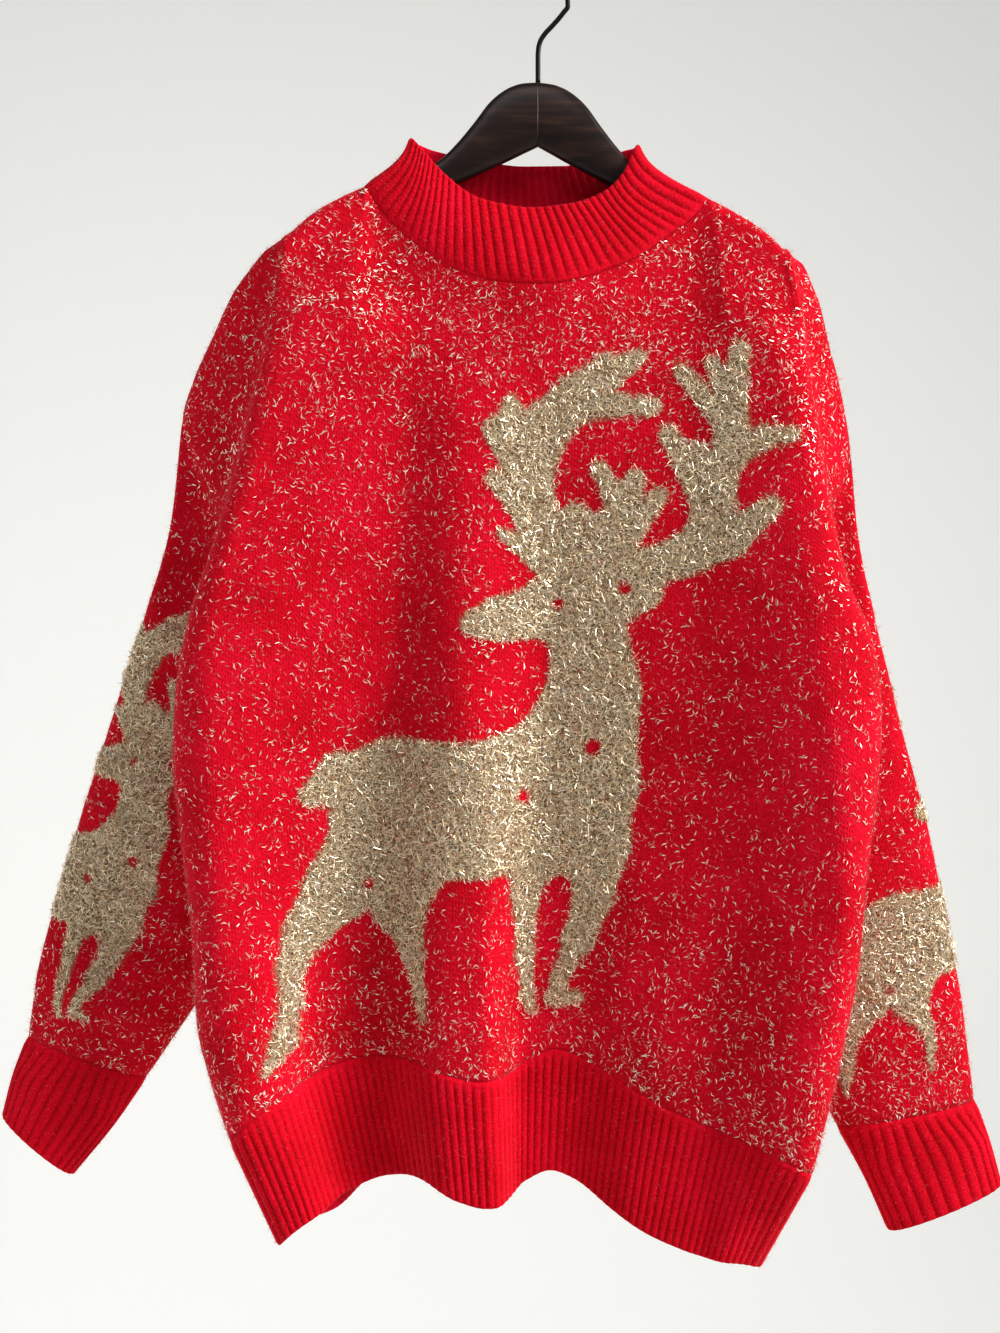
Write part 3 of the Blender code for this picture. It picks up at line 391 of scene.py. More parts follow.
def fold_depth(folds, x, z, sharp):
    """Depth of a panel where its folds cross height z, and where its outer folds are."""
    down = [-h for h in FOLD_HEIGHTS]
    xs = [follow(down, fold[1], -z) for fold in folds]
    ys = [follow(down, fold[2], -z) for fold in folds]
    depth = np.where(x < xs[0], ys[0], ys[-1])
    for k in range(len(folds) - 1):
        t = np.clip((x - xs[k]) / (xs[k + 1] - xs[k]), 0.0, 1.0)
        q = smooth(t)
        for extra in (sharp, sharp - 1.0):
            q = q + (smooth(q) - q) * np.clip(extra, 0.0, 1.0)
        if folds is FOLDS_FRONT and k in EVEN_FALL:
            rounding, exponent = EVEN_FALL[k]
            even = t**exponent
            even = even + rounding * (smooth(t) - even)
            q = q + (even - q) * (1.0 - EVEN_LOST * np.clip(sharp, 0.0, 1.0))
        between = (x >= xs[k]) & (x < xs[k + 1])
        depth = np.where(between, ys[k] + (ys[k + 1] - ys[k]) * q, depth)
    return depth, xs, ys


low_down = fold_depth(FOLDS_FRONT, np.linspace(-150.0, 150.0, 61), np.full(61, -700.0), 0.0)[0]
print("low down the front's folds are", round(float(np.ptp(low_down))), "mm deep")

# %% A sheet between four edges, and its roll over the wood
def coons(top, low, first, last, s, v):
    """A sheet between four edges: top and low run along s, first and last along v."""
    s, v = s[..., None], v[..., None]
    a, b = first[0], first[-1]
    c, d = last[0], last[-1]
    sides = (1 - s) * (first[:, None] - (1 - v) * a - v * b) + s * (last[:, None] - (1 - v) * c - v * d)
    return (1 - v) * top[None] + v * low[None] + sides


def roll_over(drop, off_wood):
    """Depth gained where cloth rolls over the wood, less where its edge already stands off the wood."""
    over = np.sqrt(1.0 - (1.0 - np.clip(drop / ROLL, 0.0, 1.0)) ** 2)
    return ROLL * over * (1.0 - np.clip(np.abs(off_wood) / ROLL, 0.0, 1.0))


print("5 mm below the seam the cloth is", round(float(roll_over(5.0, 0.0)), 1), "mm off the wood's middle")

# %% [markdown]
# ## The two panels
# A panel is a sheet between four edges: the shoulders and neck, the two outermost folds, and the hem
# seam. Its height and width come from those edges, and its depth from the roll over the wood, the
# long folds, and then the creases. The front goes on round its outermost folds, back to the seams.
# A cloth simulation could hang it too, but then nobody could say where a fold ends up.

# %% A crease is a short soft ridge
CREASE_BENDS = 0.004  # how much a crease bends along its length
CREASE_WAVE, CREASE_SHIFT = 1.4, 0.9  # how its ridge and its dip lie across it, in radians


def creased(grid, creases, out):
    """Moves a panel's points in depth along its short soft creases."""
    x, z = grid[..., 0], grid[..., 2]
    lift = np.zeros_like(x)
    for across, height, length, width, slant, depth in creases:
        turn = math.radians(slant)
        along = (x - across) * math.cos(turn) + (z - height) * math.sin(turn)
        aside = -(x - across) * math.sin(turn) + (z - height) * math.cos(turn)
        aside = aside + CREASE_BENDS * along**2 / max(width, 1.0)
        shape = np.exp(-((along / length) ** 2)) * np.exp(-((aside / width) ** 2))
        lift += depth * shape * np.sin(aside / width * CREASE_WAVE + CREASE_SHIFT)
    grid = grid.copy()
    grid[..., 1] -= out * lift
    return grid


ridge = creased(np.array([[[0.0, 0.0, 0.0]]]), ((0, 0, 60, 10, 80, 1.6),), 1.0)
print("a crease 1.6 mm deep moves its middle by", round(float(-ridge[0, 0, 1]), 2), "mm")

# %% The main face of a panel
HANG_FROM, HANG_OVER = 2.0, 95.0  # from here below its edge the cloth comes to its folds, over this
SHARP_FROM, SHARP_RUN = 0.55, 0.45  # parts of the way down where the folds grow sharper
ROLL_ENDS = 168.0  # past this the cloth keeps the bow that the wood has at its end
FRONT_BLEND, BACK_BLEND = 4.0, 9.0  # width over which a panel settles to its outer edge


def panel(side_r, side_l, neck, hem, folds, s, across_neck, v, front):
    """The main face of a panel between its two outer edges."""
    wanted = ("fold_x", "fold_y", "fold_z") if front else ("seam_x", "seam_y", "seam_z")
    first, last = columns(side_r, SIDE, wanted, v), columns(side_l, SIDE, wanted, v)
    top_x = first[0, 0] + (last[0, 0] - first[0, 0]) * s
    low_x = first[-1, 0] + (last[-1, 0] - first[-1, 0]) * s
    top = np.stack([top_x, top_line(neck, top_x, across_neck)], -1)
    top[0, 1], top[-1, 1] = first[0, 2], last[0, 2]
    low = np.stack([low_x, follow([p[0] for p in hem], [p[1] for p in hem], low_x)], -1)
    low[0, 1], low[-1, 1] = first[-1, 2], last[-1, 2]
    grid_s, grid_v = np.meshgrid(s, v)
    xz = coons(top, low, first[:, [0, 2]], last[:, [0, 2]], grid_s, grid_v)
    x, z = xz[..., 0], xz[..., 1]
    out = -1.0 if front else 1.0
    neck_y = follow([p[0] for p in neck], [p[1] for p in neck], top_x)
    top_y = np.where(across_neck, neck_y, hanger_bow(top_x))
    drop = top[None, :, 1] - z
    sharp = smooth((grid_v - SHARP_FROM) / SHARP_RUN)
    depth, xs, ys = fold_depth(folds, x, z, sharp)
    if front:
        for edge, k in ((first, 0), (last, -1)):
            span = edge[:, None, 0] - xs[k]
            q = np.clip((x - xs[k]) / np.where(np.abs(span) < 1.0, np.inf, span), 0.0, 1.0)
            depth = depth + (edge[:, None, 1] - ys[k]) * (1.0 - np.sqrt(1.0 - q * q))
    over_wood = np.clip(x, -ROLL_ENDS, ROLL_ENDS)
    rolled = top_y + out * roll_over(drop, top_y - hanger_bow(top_x))
    rolled = rolled + np.where(across_neck, 0.0, hanger_bow(over_wood) - hanger_bow(top_x))
    y = rolled + (depth - rolled) * smooth((drop - HANG_FROM) / HANG_OVER)
    settle = FRONT_BLEND if front else BACK_BLEND
    for edge, at in ((first, 0), (last, -1)):
        away = np.abs(x - edge[:, None, 0])
        y = y + (edge[:, None, 1] - y[:, at][:, None]) * np.exp(-away / settle)
    return np.stack([x, y, z], -1)


print("a panel settles to its outer edge over", FRONT_BLEND, "mm in front and", BACK_BLEND, "mm behind")

# %% The front turns round its outermost folds, the back leaves it at the armholes
def strip(face_edge, side, v, q, inward):
    """The cloth that turns back from the outermost fold to the seam behind it."""
    seam = columns(side, SIDE, ("seam_x", "seam_y", "seam_z"), v)
    turn = [follow([row[0] for row in TURN], [row[k] for row in TURN], v) for k in (1, 2, 3)]
    near = seam + np.stack([inward * turn[0], turn[1], 0 * v], -1)
    far = face_edge + np.stack([0 * v, turn[2], 0 * v], -1)
    q = q[None, :, None]
    p, n, f, e = (a[:, None] for a in (seam, near, far, face_edge))
    return (1 - q) ** 3 * p + 3 * (1 - q) ** 2 * q * n + 3 * (1 - q) * q * q * f + q**3 * e


def front_sheet(s, across_neck, v, q):
    """The whole front: strip, face, strip."""
    face = panel(SIDE_RIGHT, SIDE_LEFT, NECK_FRONT, HEM_SEAM_FRONT, FOLDS_FRONT, s, across_neck, v, True)
    right = strip(face[:, 0], SIDE_RIGHT, v, q, 1.0)
    left = strip(face[:, -1], SIDE_LEFT, v, q, -1.0)
    return np.concatenate([right[:, :-1], face, left[:, -2::-1]], axis=1)


def back_side(side, armhole):
    """The back panel's own side table, which leaves the front's along the armhole."""
    rows = []
    for row in side:
        match = [a for a in armhole[1:-1] if a[0] == row[0]]
        rows.append((row[0],) + row[1:4] + (match[0][1:] if match else row[4:7]))
    return tuple(rows)


def back_sheet(s, across_neck, v):
    """The whole back, from seam to seam."""
    right, left = back_side(SIDE_RIGHT, ARMHOLE_RIGHT), back_side(SIDE_LEFT, ARMHOLE_LEFT)
    return panel(right, left, NECK_BACK, HEM_SEAM_BACK, FOLDS_BACK, s, across_neck, v, False)


seam_at = columns(SIDE_RIGHT, SIDE, ("seam_x", "seam_y"), 0.5)
fold_at = columns(SIDE_RIGHT, SIDE, ("fold_x", "fold_y"), 0.5)
print("half way down, the front turns back by", np.round(seam_at - fold_at, 1), "mm to its side seam")

# %% Where the rows and columns of stitches stand
ARMHOLE_TOP, ARMHOLE_LOW = 0.20, 0.42  # where the armhole starts and ends on the way down
ROWS_ABOVE, ROWS_BESIDE, ROWS_BELOW = 16, 44, 118  # rows above the armhole, beside it and below it
SHOULDER_COLUMNS, NECK_COLUMNS = 17, 88  # columns over one shoulder, and over the neck's middle


def rows_down():
    """Rows close together where the cloth rolls over the wood, then evenly down to the hem."""
    shoulder_rows = (0.0, 0.002, 0.0045, 0.0075, 0.012, 0.018, 0.026, 0.036, 0.048)
    upper = np.linspace(0.06, ARMHOLE_TOP, ROWS_ABOVE)
    armhole = np.linspace(ARMHOLE_TOP, ARMHOLE_LOW, ROWS_BESIDE)
    body = np.linspace(ARMHOLE_LOW, 1.0, ROWS_BELOW)
    down = np.concatenate([shoulder_rows, upper[:-1], armhole, body[1:]])
    first = len(shoulder_rows) + len(upper) - 1
    return down, (first, first + len(armhole) - 1)


def columns_across(first_x, last_x):
    """Columns close together at the two points of the neck, even elsewhere."""
    neck_x = [p[0] for p in NECK_FRONT]
    right = np.linspace(first_x, neck_x[0], SHOULDER_COLUMNS)
    left = np.linspace(neck_x[-1], last_x, SHOULDER_COLUMNS)
    right_point = (-117.6, -117.2, -116.6, -115.8, -114.2, -112.0, -109.2)
    left_point = (107.0, 110.0, 112.2, 113.8, 114.6, 115.2, 115.6)
    between = np.linspace(-106.0, 104.0, NECK_COLUMNS)
    x = np.concatenate([right, right_point, between, left_point, left])
    return (x - first_x) / (last_x - first_x), (x >= neck_x[0]) & (x <= neck_x[-1])


down, armhole_rows = rows_down()
s_front, on_face = columns_across(SIDE_RIGHT[0][1], SIDE_LEFT[0][1])
print(len(down), "rows and", len(s_front), "columns in the front's face")

# %% The front and the back, sharing their seams
TURN_CELLS = 18  # columns of cells on the strip that turns round a side
front = front_sheet(s_front, on_face, down, np.linspace(0, 1, TURN_CELLS + 1))
off_face = np.zeros(TURN_CELLS, bool)
on_neck = np.concatenate([off_face, on_face, off_face])
s_back = (front[0, :, 0] - front[0, 0, 0]) / (front[0, -1, 0] - front[0, 0, 0])
back = back_sheet(s_back, on_neck, down)
on_shoulder = np.flatnonzero(~on_neck)
front[0, on_shoulder, 1] = hanger_bow(front[0, on_shoulder, 0])
front[0, on_shoulder, 2] = shoulder(front[0, on_shoulder, 0])
back[0, on_shoulder] = front[0, on_shoulder]
for edge in (0, -1):
    rows = list(range(armhole_rows[0] + 1)) + list(range(armhole_rows[1], len(down)))
    back[rows, edge] = front[rows, edge]
print("front panel", front.shape[:2], "points, back panel", back.shape[:2])

# %% Creases, fading out towards the seams
SIDE_CLEAR = 0.6  # part of the turned strip's cells, counted from the seam, that stays without creases
TOP_CLEAR, TOP_FADE, LOW_FADE = 0.03, 0.08, 0.04  # parts of the way down with none, and of their fading
away = np.minimum(np.arange(front.shape[1]), np.arange(front.shape[1])[::-1])
inside = smooth((away - TURN_CELLS * SIDE_CLEAR) / TURN_CELLS)[None, :, None]
inside = inside * smooth((down - TOP_CLEAR) / TOP_FADE)[:, None, None]
inside = inside * smooth((1.0 - down) / LOW_FADE)[:, None, None]
before = front.copy()
front += (creased(front, CREASES_FRONT, 1.0) - front) * inside
back += (creased(back, CREASES_BACK, -1.0) - back) * inside
print("the creases move the front by up to", round(float(np.abs(front - before).max()), 1), "mm")

# %% [markdown]
# ## The sleeves
# A sleeve is a tube whose first ring is the armhole itself. Each section is a flattened oval between
# an upper and an under edge, and the ring settles into those sections over the first fifth of the way,
# which makes the soft hollow under a dropped shoulder. Starting on the panels' own points means that
# body and sleeve meet without a gap, which two meshes modelled apart would not.

# %% The armhole's ring, and one section of a sleeve
FLATTENED = 0.85  # below 1 a section is fuller than an oval


def ring_of(front, back, rows):
    """The armhole's ring: down the front's edge from the shoulder, then up the back's."""
    top, low = rows
    return np.concatenate([front[top:low], back[low:top:-1]])


def sleeve_section(table, along, angle):
    """Points round a sleeve at one place along it; angle 0 is the upper edge, pi the under edge."""
    top = columns(table, SLEEVE, ("top_x", "top_y", "top_z"), along)
    under = columns(table, SLEEVE, ("under_x", "under_y", "under_z"), along)
    depth = column(table, SLEEVE, "depth", along)
    middle, half = (top + under) / 2, (top - under) / 2
    across = half / np.linalg.norm(half)
    ahead = np.array([0.0, -1.0, 0.0])
    ahead = ahead - across * (ahead @ across)
    ahead = ahead / np.linalg.norm(ahead)
    lift = np.sign(np.sin(angle)) * np.abs(np.sin(angle)) ** FLATTENED
    return middle + np.cos(angle)[:, None] * half + (lift * depth)[:, None] * ahead


def ring_angles(ring, half):
    """An angle for each point of the armhole's ring, by its way round, with pi at point `half`."""
    step = np.linalg.norm(np.roll(ring, -1, 0) - ring, axis=1)
    way = np.concatenate([[0.0], np.cumsum(step)])
    angle = np.where(np.arange(len(ring)) <= half, np.pi * way[:-1] / way[half], 0.0)
    rest = np.pi + np.pi * (way[:-1] - way[half]) / (way[-1] - way[half])
    return np.where(np.arange(len(ring)) <= half, angle, rest)


elbow = sleeve_section(SLEEVE_LEFT, 0.5, np.array([0.0, np.pi]))
print("half way down, the left sleeve is", round(float(np.linalg.norm(elbow[0] - elbow[1]))), "mm wide")

# %% A sleeve that settles into its sections, with its creases
SETTLED = 0.22  # part of the way down where the ring has become a plain section
HOLLOW = 7.0  # depth of the hollow under the dropped shoulder
HOLLOW_GROWS, HOLLOW_FROM, HOLLOW_RUN = 0.08, 0.15, 0.3  # where it is whole, and where it fades
COMES_OVER, GONE_AT, GOES_OVER = 0.3, 1.2, 0.35  # how it comes and goes round the sleeve, in half turns
BEND_BACK = -0.7  # a crease in front shows the other way, and a little less, behind
CREASE_RUNS = 0.05  # how far down the sleeve a crease runs in half a turn
CREASES_IN, CREASES_OUT = 0.25, 0.05  # parts of the sleeve over which they fade in and out


def sleeve_sheet(table, ring, half, along):
    """A sleeve that starts on the armhole's ring and settles into its own sections."""
    angle = ring_angles(ring, half)
    start = sleeve_section(table, 0.0, angle)
    rows = []
    for t in along:
        left = 1.0 - smooth(t / SETTLED)
        row = sleeve_section(table, t, angle) + (ring - start) * left
        quick = min(t / HOLLOW_GROWS, 1.0)
        turn = HOLLOW * math.sqrt(quick * (2.0 - quick))
        turn = turn * (1.0 - smooth((t - HOLLOW_FROM) / HOLLOW_RUN))
        coming = smooth(angle / (COMES_OVER * np.pi))
        row[:, 1] += turn * coming * smooth((GONE_AT * np.pi - angle) / (GOES_OVER * np.pi))
        for where, side, length, width, depth in CREASES_SLEEVE:
            for place_round, share in ((side, 1.0), (2.0 - side, BEND_BACK)):
                slant = CREASE_RUNS * (angle / np.pi - place_round)
                bump = np.exp(-(((t - where - slant) / length) ** 2))
                bump *= np.exp(-(((angle / np.pi - place_round) / width) ** 2))
                faded_in = share * depth * bump * smooth(t / CREASES_IN)
                row[:, 1] -= faded_in * smooth((1.0 - t) / CREASES_OUT)
        rows.append(row)
    return np.array(rows)


print("a sleeve has settled", round(100 * SETTLED), "% of the way down")

# %% The sheets of cloth
half_ring = armhole_rows[1] - armhole_rows[0]
along_sleeve = np.concatenate([[0.0, 0.006, 0.012, 0.02, 0.03], np.linspace(0.04, 1.0, 128)])
SLEEVES = (("sleeve_right", SLEEVE_RIGHT, 0, 1.0), ("sleeve_left", SLEEVE_LEFT, -1, -1.0))
sheets = {
    "front": {"grid": front, "closed": False, "out": 1.0, "edges": ("top", "low", "first", "last")},
    "back": {"grid": back, "closed": False, "out": -1.0, "edges": ("top", "low", "first", "last")},
}
for name, table, edge, out in SLEEVES:
    ring = ring_of(front[:, edge], back[:, edge], armhole_rows)
    grid = sleeve_sheet(table, ring, half_ring, along_sleeve)
    sheets[name] = {"grid": grid, "closed": True, "out": out, "edges": ("top", "low")}
    print(name, grid.shape[:2], "points")

# %% [markdown]
# ## Outward directions, seams and stitches
# Cloth needs to know which way is out, for its thickness and for the hair that stands on it. At a seam
# both pieces use the same direction, or they would part there. Each piece also gets the distance along
# and across its own knitting, so that stitches keep their size however the cloth folds.

# %% Places along a run of points
def way_along(points, closed):
    """Part of the way along a run of points, from 0 to 1."""
    ends = np.concatenate([points, points[:1]]) if closed else points
    way = np.concatenate([[0.0], np.cumsum(np.linalg.norm(np.diff(ends, axis=0), axis=1))])
    return way / way[-1]


def place(way, values, q, closed):
    """Values read off a run of points at q."""
    ends = np.concatenate([values, values[:1]]) if closed else values
    return np.stack([np.interp(q, way, ends[:, k]) for k in range(ends.shape[1])], -1)


hem_line = front[-1]
middle = place(way_along(hem_line, False), hem_line, np.array([0.5]), False)[0]
print("the middle of the front's hem seam is at", np.round(middle, 1))

# %% The outward direction, shared at a seam
def unit(ways):
    """The same directions, all of length 1."""
    return ways / np.maximum(np.linalg.norm(ways, axis=-1, keepdims=True), 1e-9)


def facing(grid, closed, out):
    """The outward direction at each point of a sheet."""
    if closed:
        along = np.roll(grid, -1, 1) - np.roll(grid, 1, 1)
    else:
        along = np.gradient(grid, axis=1)
    return unit(np.cross(np.gradient(grid, axis=0), along) * out)


def shared(sheets):
    """Makes the outward direction the same on both sides of each seam."""
    totals = {}
    for sheet in sheets.values():
        for point, face in zip(sheet["grid"].reshape(-1, 3), sheet["face"].reshape(-1, 3)):
            key = tuple(np.round(point, 3))
            totals[key] = totals.get(key, 0.0) + face
    for sheet in sheets.values():
        flat = sheet["face"].reshape(-1, 3)
        for k, point in enumerate(sheet["grid"].reshape(-1, 3)):
            total = totals[tuple(np.round(point, 3))]
            flat[k] = total / max(np.linalg.norm(total), 1e-9)
    return len(totals)


for sheet in sheets.values():
    sheet["face"] = facing(sheet["grid"], sheet["closed"], sheet["out"])
every_point = sum(sheet["grid"][..., 0].size for sheet in sheets.values())
print(every_point - shared(sheets), "points are shared along the seams")

# %% The gap and the dip of a seam
def trimmed(grid, edges):
    """The sheet with its seamed edges moved back by half the gap."""
    places = {
        "top": ((0, slice(None)), (1, slice(None))),
        "low": ((-1, slice(None)), (-2, slice(None))),
        "first": ((slice(None), 0), (slice(None), 1)),
        "last": ((slice(None), -1), (slice(None), -2)),
    }
    whole, grid = grid, grid.copy()
    for edge in edges:
        at, inner = places[edge]
        move = whole[inner] - whole[at]
        length = np.maximum(np.linalg.norm(move, axis=-1, keepdims=True), 1e-9)
        grid[at] = grid[at] + move / length * np.minimum(SEAM_GAP / 2, length / 3)
    return grid


def knit_places(grid, closed):
    """Distance across and down each piece's own knitting, in millimetres."""
    ends = np.concatenate([grid, grid[:, :1]], axis=1) if closed else grid
    across = np.linalg.norm(np.diff(ends, axis=1), axis=-1)
    across = np.concatenate([np.zeros((len(ends), 1)), np.cumsum(across, axis=1)], axis=1)
    if not closed:
        across = across - across[:, across.shape[1] // 2][:, None]
    downward = np.linalg.norm(np.diff(ends, axis=0), axis=-1)
    downward = np.concatenate([np.zeros((1, ends.shape[1])), np.cumsum(downward, axis=0)], axis=0)
    return np.stack([across, downward], -1)


DIP_WIDTH = 3.4  # how far from a seam the cloth is still drawn in


def seam_dip(grid, edges, closed):
    """How far the cloth is drawn in next to its seams."""
    knit = knit_places(grid, closed)
    if closed:
        knit = knit[:, :-1]
    away = {
        "top": knit[..., 1],
        "low": knit[-1:, :, 1] - knit[..., 1],
        "first": knit[..., 0] - knit[:, :1, 0],
        "last": knit[:, -1:, 0] - knit[..., 0],
    }
    dip = np.zeros(grid.shape[:2])
    for edge in edges:
        dip = np.maximum(dip, np.exp(-((away[edge] / DIP_WIDTH) ** 2)))
    return SEAM_DIP * dip


INNER_SIDE = WALL / 2 - 0.3  # the inner face lies a little within the plain solid's own
for name, sheet in sheets.items():
    grid = trimmed(sheet["grid"], sheet["edges"])
    lift = WALL / 2 - seam_dip(grid, sheet["edges"], sheet["closed"])
    sheet["outer"] = grid + sheet["face"] * lift[..., None]
    sheet["inner"] = grid - sheet["face"] * INNER_SIDE
    sheet["knit"] = knit_places(grid, sheet["closed"])
    print(name, "is", round(float(sheet["knit"][-1, :, 1].max())), "mm long along the cloth")

# %% [markdown]
# ## Turning grids into cloth
# A thin closed shell has a fine outer grid, a coarser inner one and a rim between them. The outer grid
# carries the stitches, so the inner one can do with half the points each way. A solidify modifier
# would give both sides the same points, and many more triangles.

# %% The rim between two runs of points
def zip_edges(chain_a, way_a, chain_b, way_b):
    """Triangles between two runs of points with different counts."""
    faces = []
    i = j = 0
    while i < len(chain_a) - 1 or j < len(chain_b) - 1:
        step_a = way_a[i + 1] if i < len(chain_a) - 1 else 9.0
        step_b = way_b[j + 1] if j < len(chain_b) - 1 else 9.0
        if step_a <= step_b:
            faces.append((chain_a[i], chain_a[i + 1], chain_b[j]))
            i += 1
        else:
            faces.append((chain_a[i], chain_b[j + 1], chain_b[j]))
            j += 1
    return faces


def coarser(grid, closed):
    """Every second row and column, with the edges kept."""
    rows = sorted(set(range(0, grid.shape[0], 2)) | {grid.shape[0] - 1})
    cols = sorted(set(range(0, grid.shape[1], 2)) | (set() if closed else {grid.shape[1] - 1}))
    return grid[rows][:, cols], np.array(rows), np.array(cols)


rim_faces = zip_edges([0, 1, 2, 3, 4], np.arange(5) / 4, [5, 6, 7], np.arange(3) / 2)
print("a rim from 5 points to 3 has", len(rim_faces), "triangles")

# %% Put a mesh in the scene
def put_in_scene(name, data):
    """A new object of the scene, with its mesh, lamp or camera."""
    thing = bpy.data.objects.new(name, data)
    bpy.context.scene.collection.objects.link(thing)
    return thing


def mesh_of(name, points, faces, material):
    """A mesh from points in millimetres."""
    mesh = bpy.data.meshes.new(name)
    mesh.from_pydata((points.reshape(-1, 3) * MM).tolist(), [], faces)
    mesh.materials.append(material)
    return mesh


def signed_volume(points, faces):
    """Positive where the faces point outwards."""
    total = 0.0
    for size in (3, 4):
        some = np.array([f for f in faces if len(f) == size])
        if len(some) == 0:
            continue
        for k in range(1, size - 1):
            a, b, c = points[some[:, 0]], points[some[:, k]], points[some[:, k + 1]]
            total += float((a * np.cross(b, c)).sum())
    return total


corners = np.array([[0, 0, 0], [1, 0, 0], [0, 1, 0], [0, 0, 1]]) + 1.0
outwards = [(0, 2, 1), (0, 1, 3), (0, 3, 2), (1, 2, 3)]
print("a small pyramid's faces give", round(signed_volume(corners, outwards), 3), "so they face outwards")

# %% A closed shell with its stitch places as a UV map
def cells_of(grid):
    """The four corners of every cell of a grid, in order round the cell."""
    axis = -1 if grid.ndim == 2 else -2
    return np.stack([grid[:-1, :-1], grid[1:, :-1], grid[1:, 1:], grid[:-1, 1:]], axis)


def shell(name, outer, inner, knit, closed, material):
    """One mesh from an outer grid, a coarser inner grid and the rim between them."""
    inner, rows, cols = coarser(inner, closed)
    count = outer.shape[0] * outer.shape[1]
    fine = np.arange(count).reshape(outer.shape[:2])
    rough = count + np.arange(inner.shape[0] * inner.shape[1]).reshape(inner.shape[:2])
    way_a, way_b = np.arange(fine.shape[1]) / 1000.0, cols / 1000.0
    places_b = cols
    if closed:
        fine = np.concatenate([fine, fine[:, :1]], axis=1)
        rough = np.concatenate([rough, rough[:, :1]], axis=1)
        way_a = np.arange(fine.shape[1]) / 1000.0
        way_b = np.append(way_b, way_a[-1])
        places_b = np.append(cols, knit.shape[1] - 1)
    faces, corners = [], []
    for index, spots, flip in ((fine, knit, False), (rough, knit[rows][:, places_b], True)):
        quad, spot = cells_of(index).reshape(-1, 4), cells_of(spots).reshape(-1, 4, 2)
        faces += (quad[:, ::-1] if flip else quad).tolist()
        corners.append((spot[:, ::-1] if flip else spot).reshape(-1, 2))
    rims = [(fine[0], way_a, rough[0], way_b, True), (fine[-1], way_a, rough[-1], way_b, False)]
    if not closed:
        way_c, way_d = np.arange(len(fine)) / 1e3, rows / 1e3
        for col, turn in ((0, False), (-1, True)):
            rims.append((fine[:, col], way_c, rough[:, col], way_d, turn))
    rim = []
    for fine_edge, fine_way, rough_edge, rough_way, turn in rims:
        for face in zip_edges(list(fine_edge), fine_way, list(rough_edge), rough_way):
            rim.append(face if turn else face[::-1])
    every = np.concatenate([knit[:, : outer.shape[1]].reshape(-1, 2), knit[rows][:, cols].reshape(-1, 2)])
    corners.append(every[np.array(rim).reshape(-1)])
    faces += [list(face) for face in rim]
    points = np.concatenate([outer.reshape(-1, 3), inner.reshape(-1, 3)])
    mesh = mesh_of(name, points, faces, material)
    uv = mesh.uv_layers.new(name="knit")
    uv.data.foreach_set("uv", (np.concatenate(corners) * MM).astype(np.float32).reshape(-1))
    mesh.polygons.foreach_set("use_smooth", np.ones(len(mesh.polygons), bool))
    mesh.update()
    if signed_volume(points, faces) < 0.0:
        mesh.flip_normals()
    return put_in_scene(name, mesh)


print("a shell's inner grid has", len(coarser(front, False)[1]), "rows for the outer grid's", len(front))

# %% Numbers that a material reads
def add_numbers(piece, name, values, inner_values=None):
    """A named number at each outer point, for a material to read. Inner points get 0, or their own."""
    every = np.zeros(len(piece.data.vertices), np.float32)
    every[: values.size] = values.reshape(-1)
    if inner_values is not None:
        every[values.size :] = inner_values.reshape(-1)
    piece.data.attributes.new(name, "FLOAT", "POINT").data.foreach_set("value", every)


print("the shells and their numbers can be made;", len(sheets), "sheets wait for their wool")

# %% [markdown]
# ## Materials
# Wool is matt and deep red, with a soft sheen from its brushed fibres. The knitting is a relief of
# small V shapes: each column of stitches has two legs that lean towards each other. The UV map is in
# metres, so one stitch is the same size on every piece. A picture of knitting would be quicker, but it
# would repeat over the cloth, and it would blur when seen close.

# %% Node helpers
def node(material, kind, inputs=None, **settings):
    """A shader node with its settings, and each input a value or another node's socket."""
    made = material.node_tree.nodes.new("ShaderNode" + kind)
    for key, value in settings.items():
        setattr(made, key, value)
    for key, value in (inputs or {}).items():
        if isinstance(value, bpy.types.NodeSocket):
            material.node_tree.links.new(value, made.inputs[key])
        else:
            made.inputs[key].default_value = value
    return made


def worked_out(material, operation, *values):
    """The result of one arithmetic node."""
    return node(material, "Math", dict(enumerate(values)), operation=operation).outputs[0]


def ramp(material, factor, stops):
    """A colour read off between stops, each a place from 0 to 1 and a colour."""
    made = node(material, "ValToRGB", {"Fac": factor})
    while len(made.color_ramp.elements) < len(stops):
        made.color_ramp.elements.new(0.5)
    for element, (where, color) in zip(made.color_ramp.elements, stops):
        element.position = where
        element.color = (*color, 1.0)
    return made.outputs["Color"]


def new_material(name, **sockets):
    """A material whose shader's own sockets are set, and the shader."""
    material = bpy.data.materials.new(name)
    material.use_nodes = True
    shader = material.node_tree.nodes["Principled BSDF"]
    for key, value in sockets.items():
        shader.inputs[key.replace("_", " ")].default_value = value
    return material, shader


print("materials are made with", node.__name__, ramp.__name__, worked_out.__name__, new_material.__name__)

# %% Colours and stitches of the wool
RED_DEEP = (0.42, 0.001, 0.005)
RED_MIDDLE = (0.66, 0.002, 0.014)
RED_BRIGHT = (0.86, 0.006, 0.036)
UNDER_METAL = (0.27, 0.18, 0.095)  # the cloth under the reindeer's metallic hair
STITCH, RIB_STITCH = (0.0042, 0.0034), (0.0033, 0.0030)  # width and height of a stitch, in metres
LEG_RELIEF, EDGE_RELIEF = 0.35, 0.5  # how much a stitch's legs and a column's edges stand out
VALLEY_SHADE = 0.24  # painted shade: how much darker the wool is painted between two ribs
FUZZ_RELIEF = 1.3  # how much the brushed fibres roughen the relief


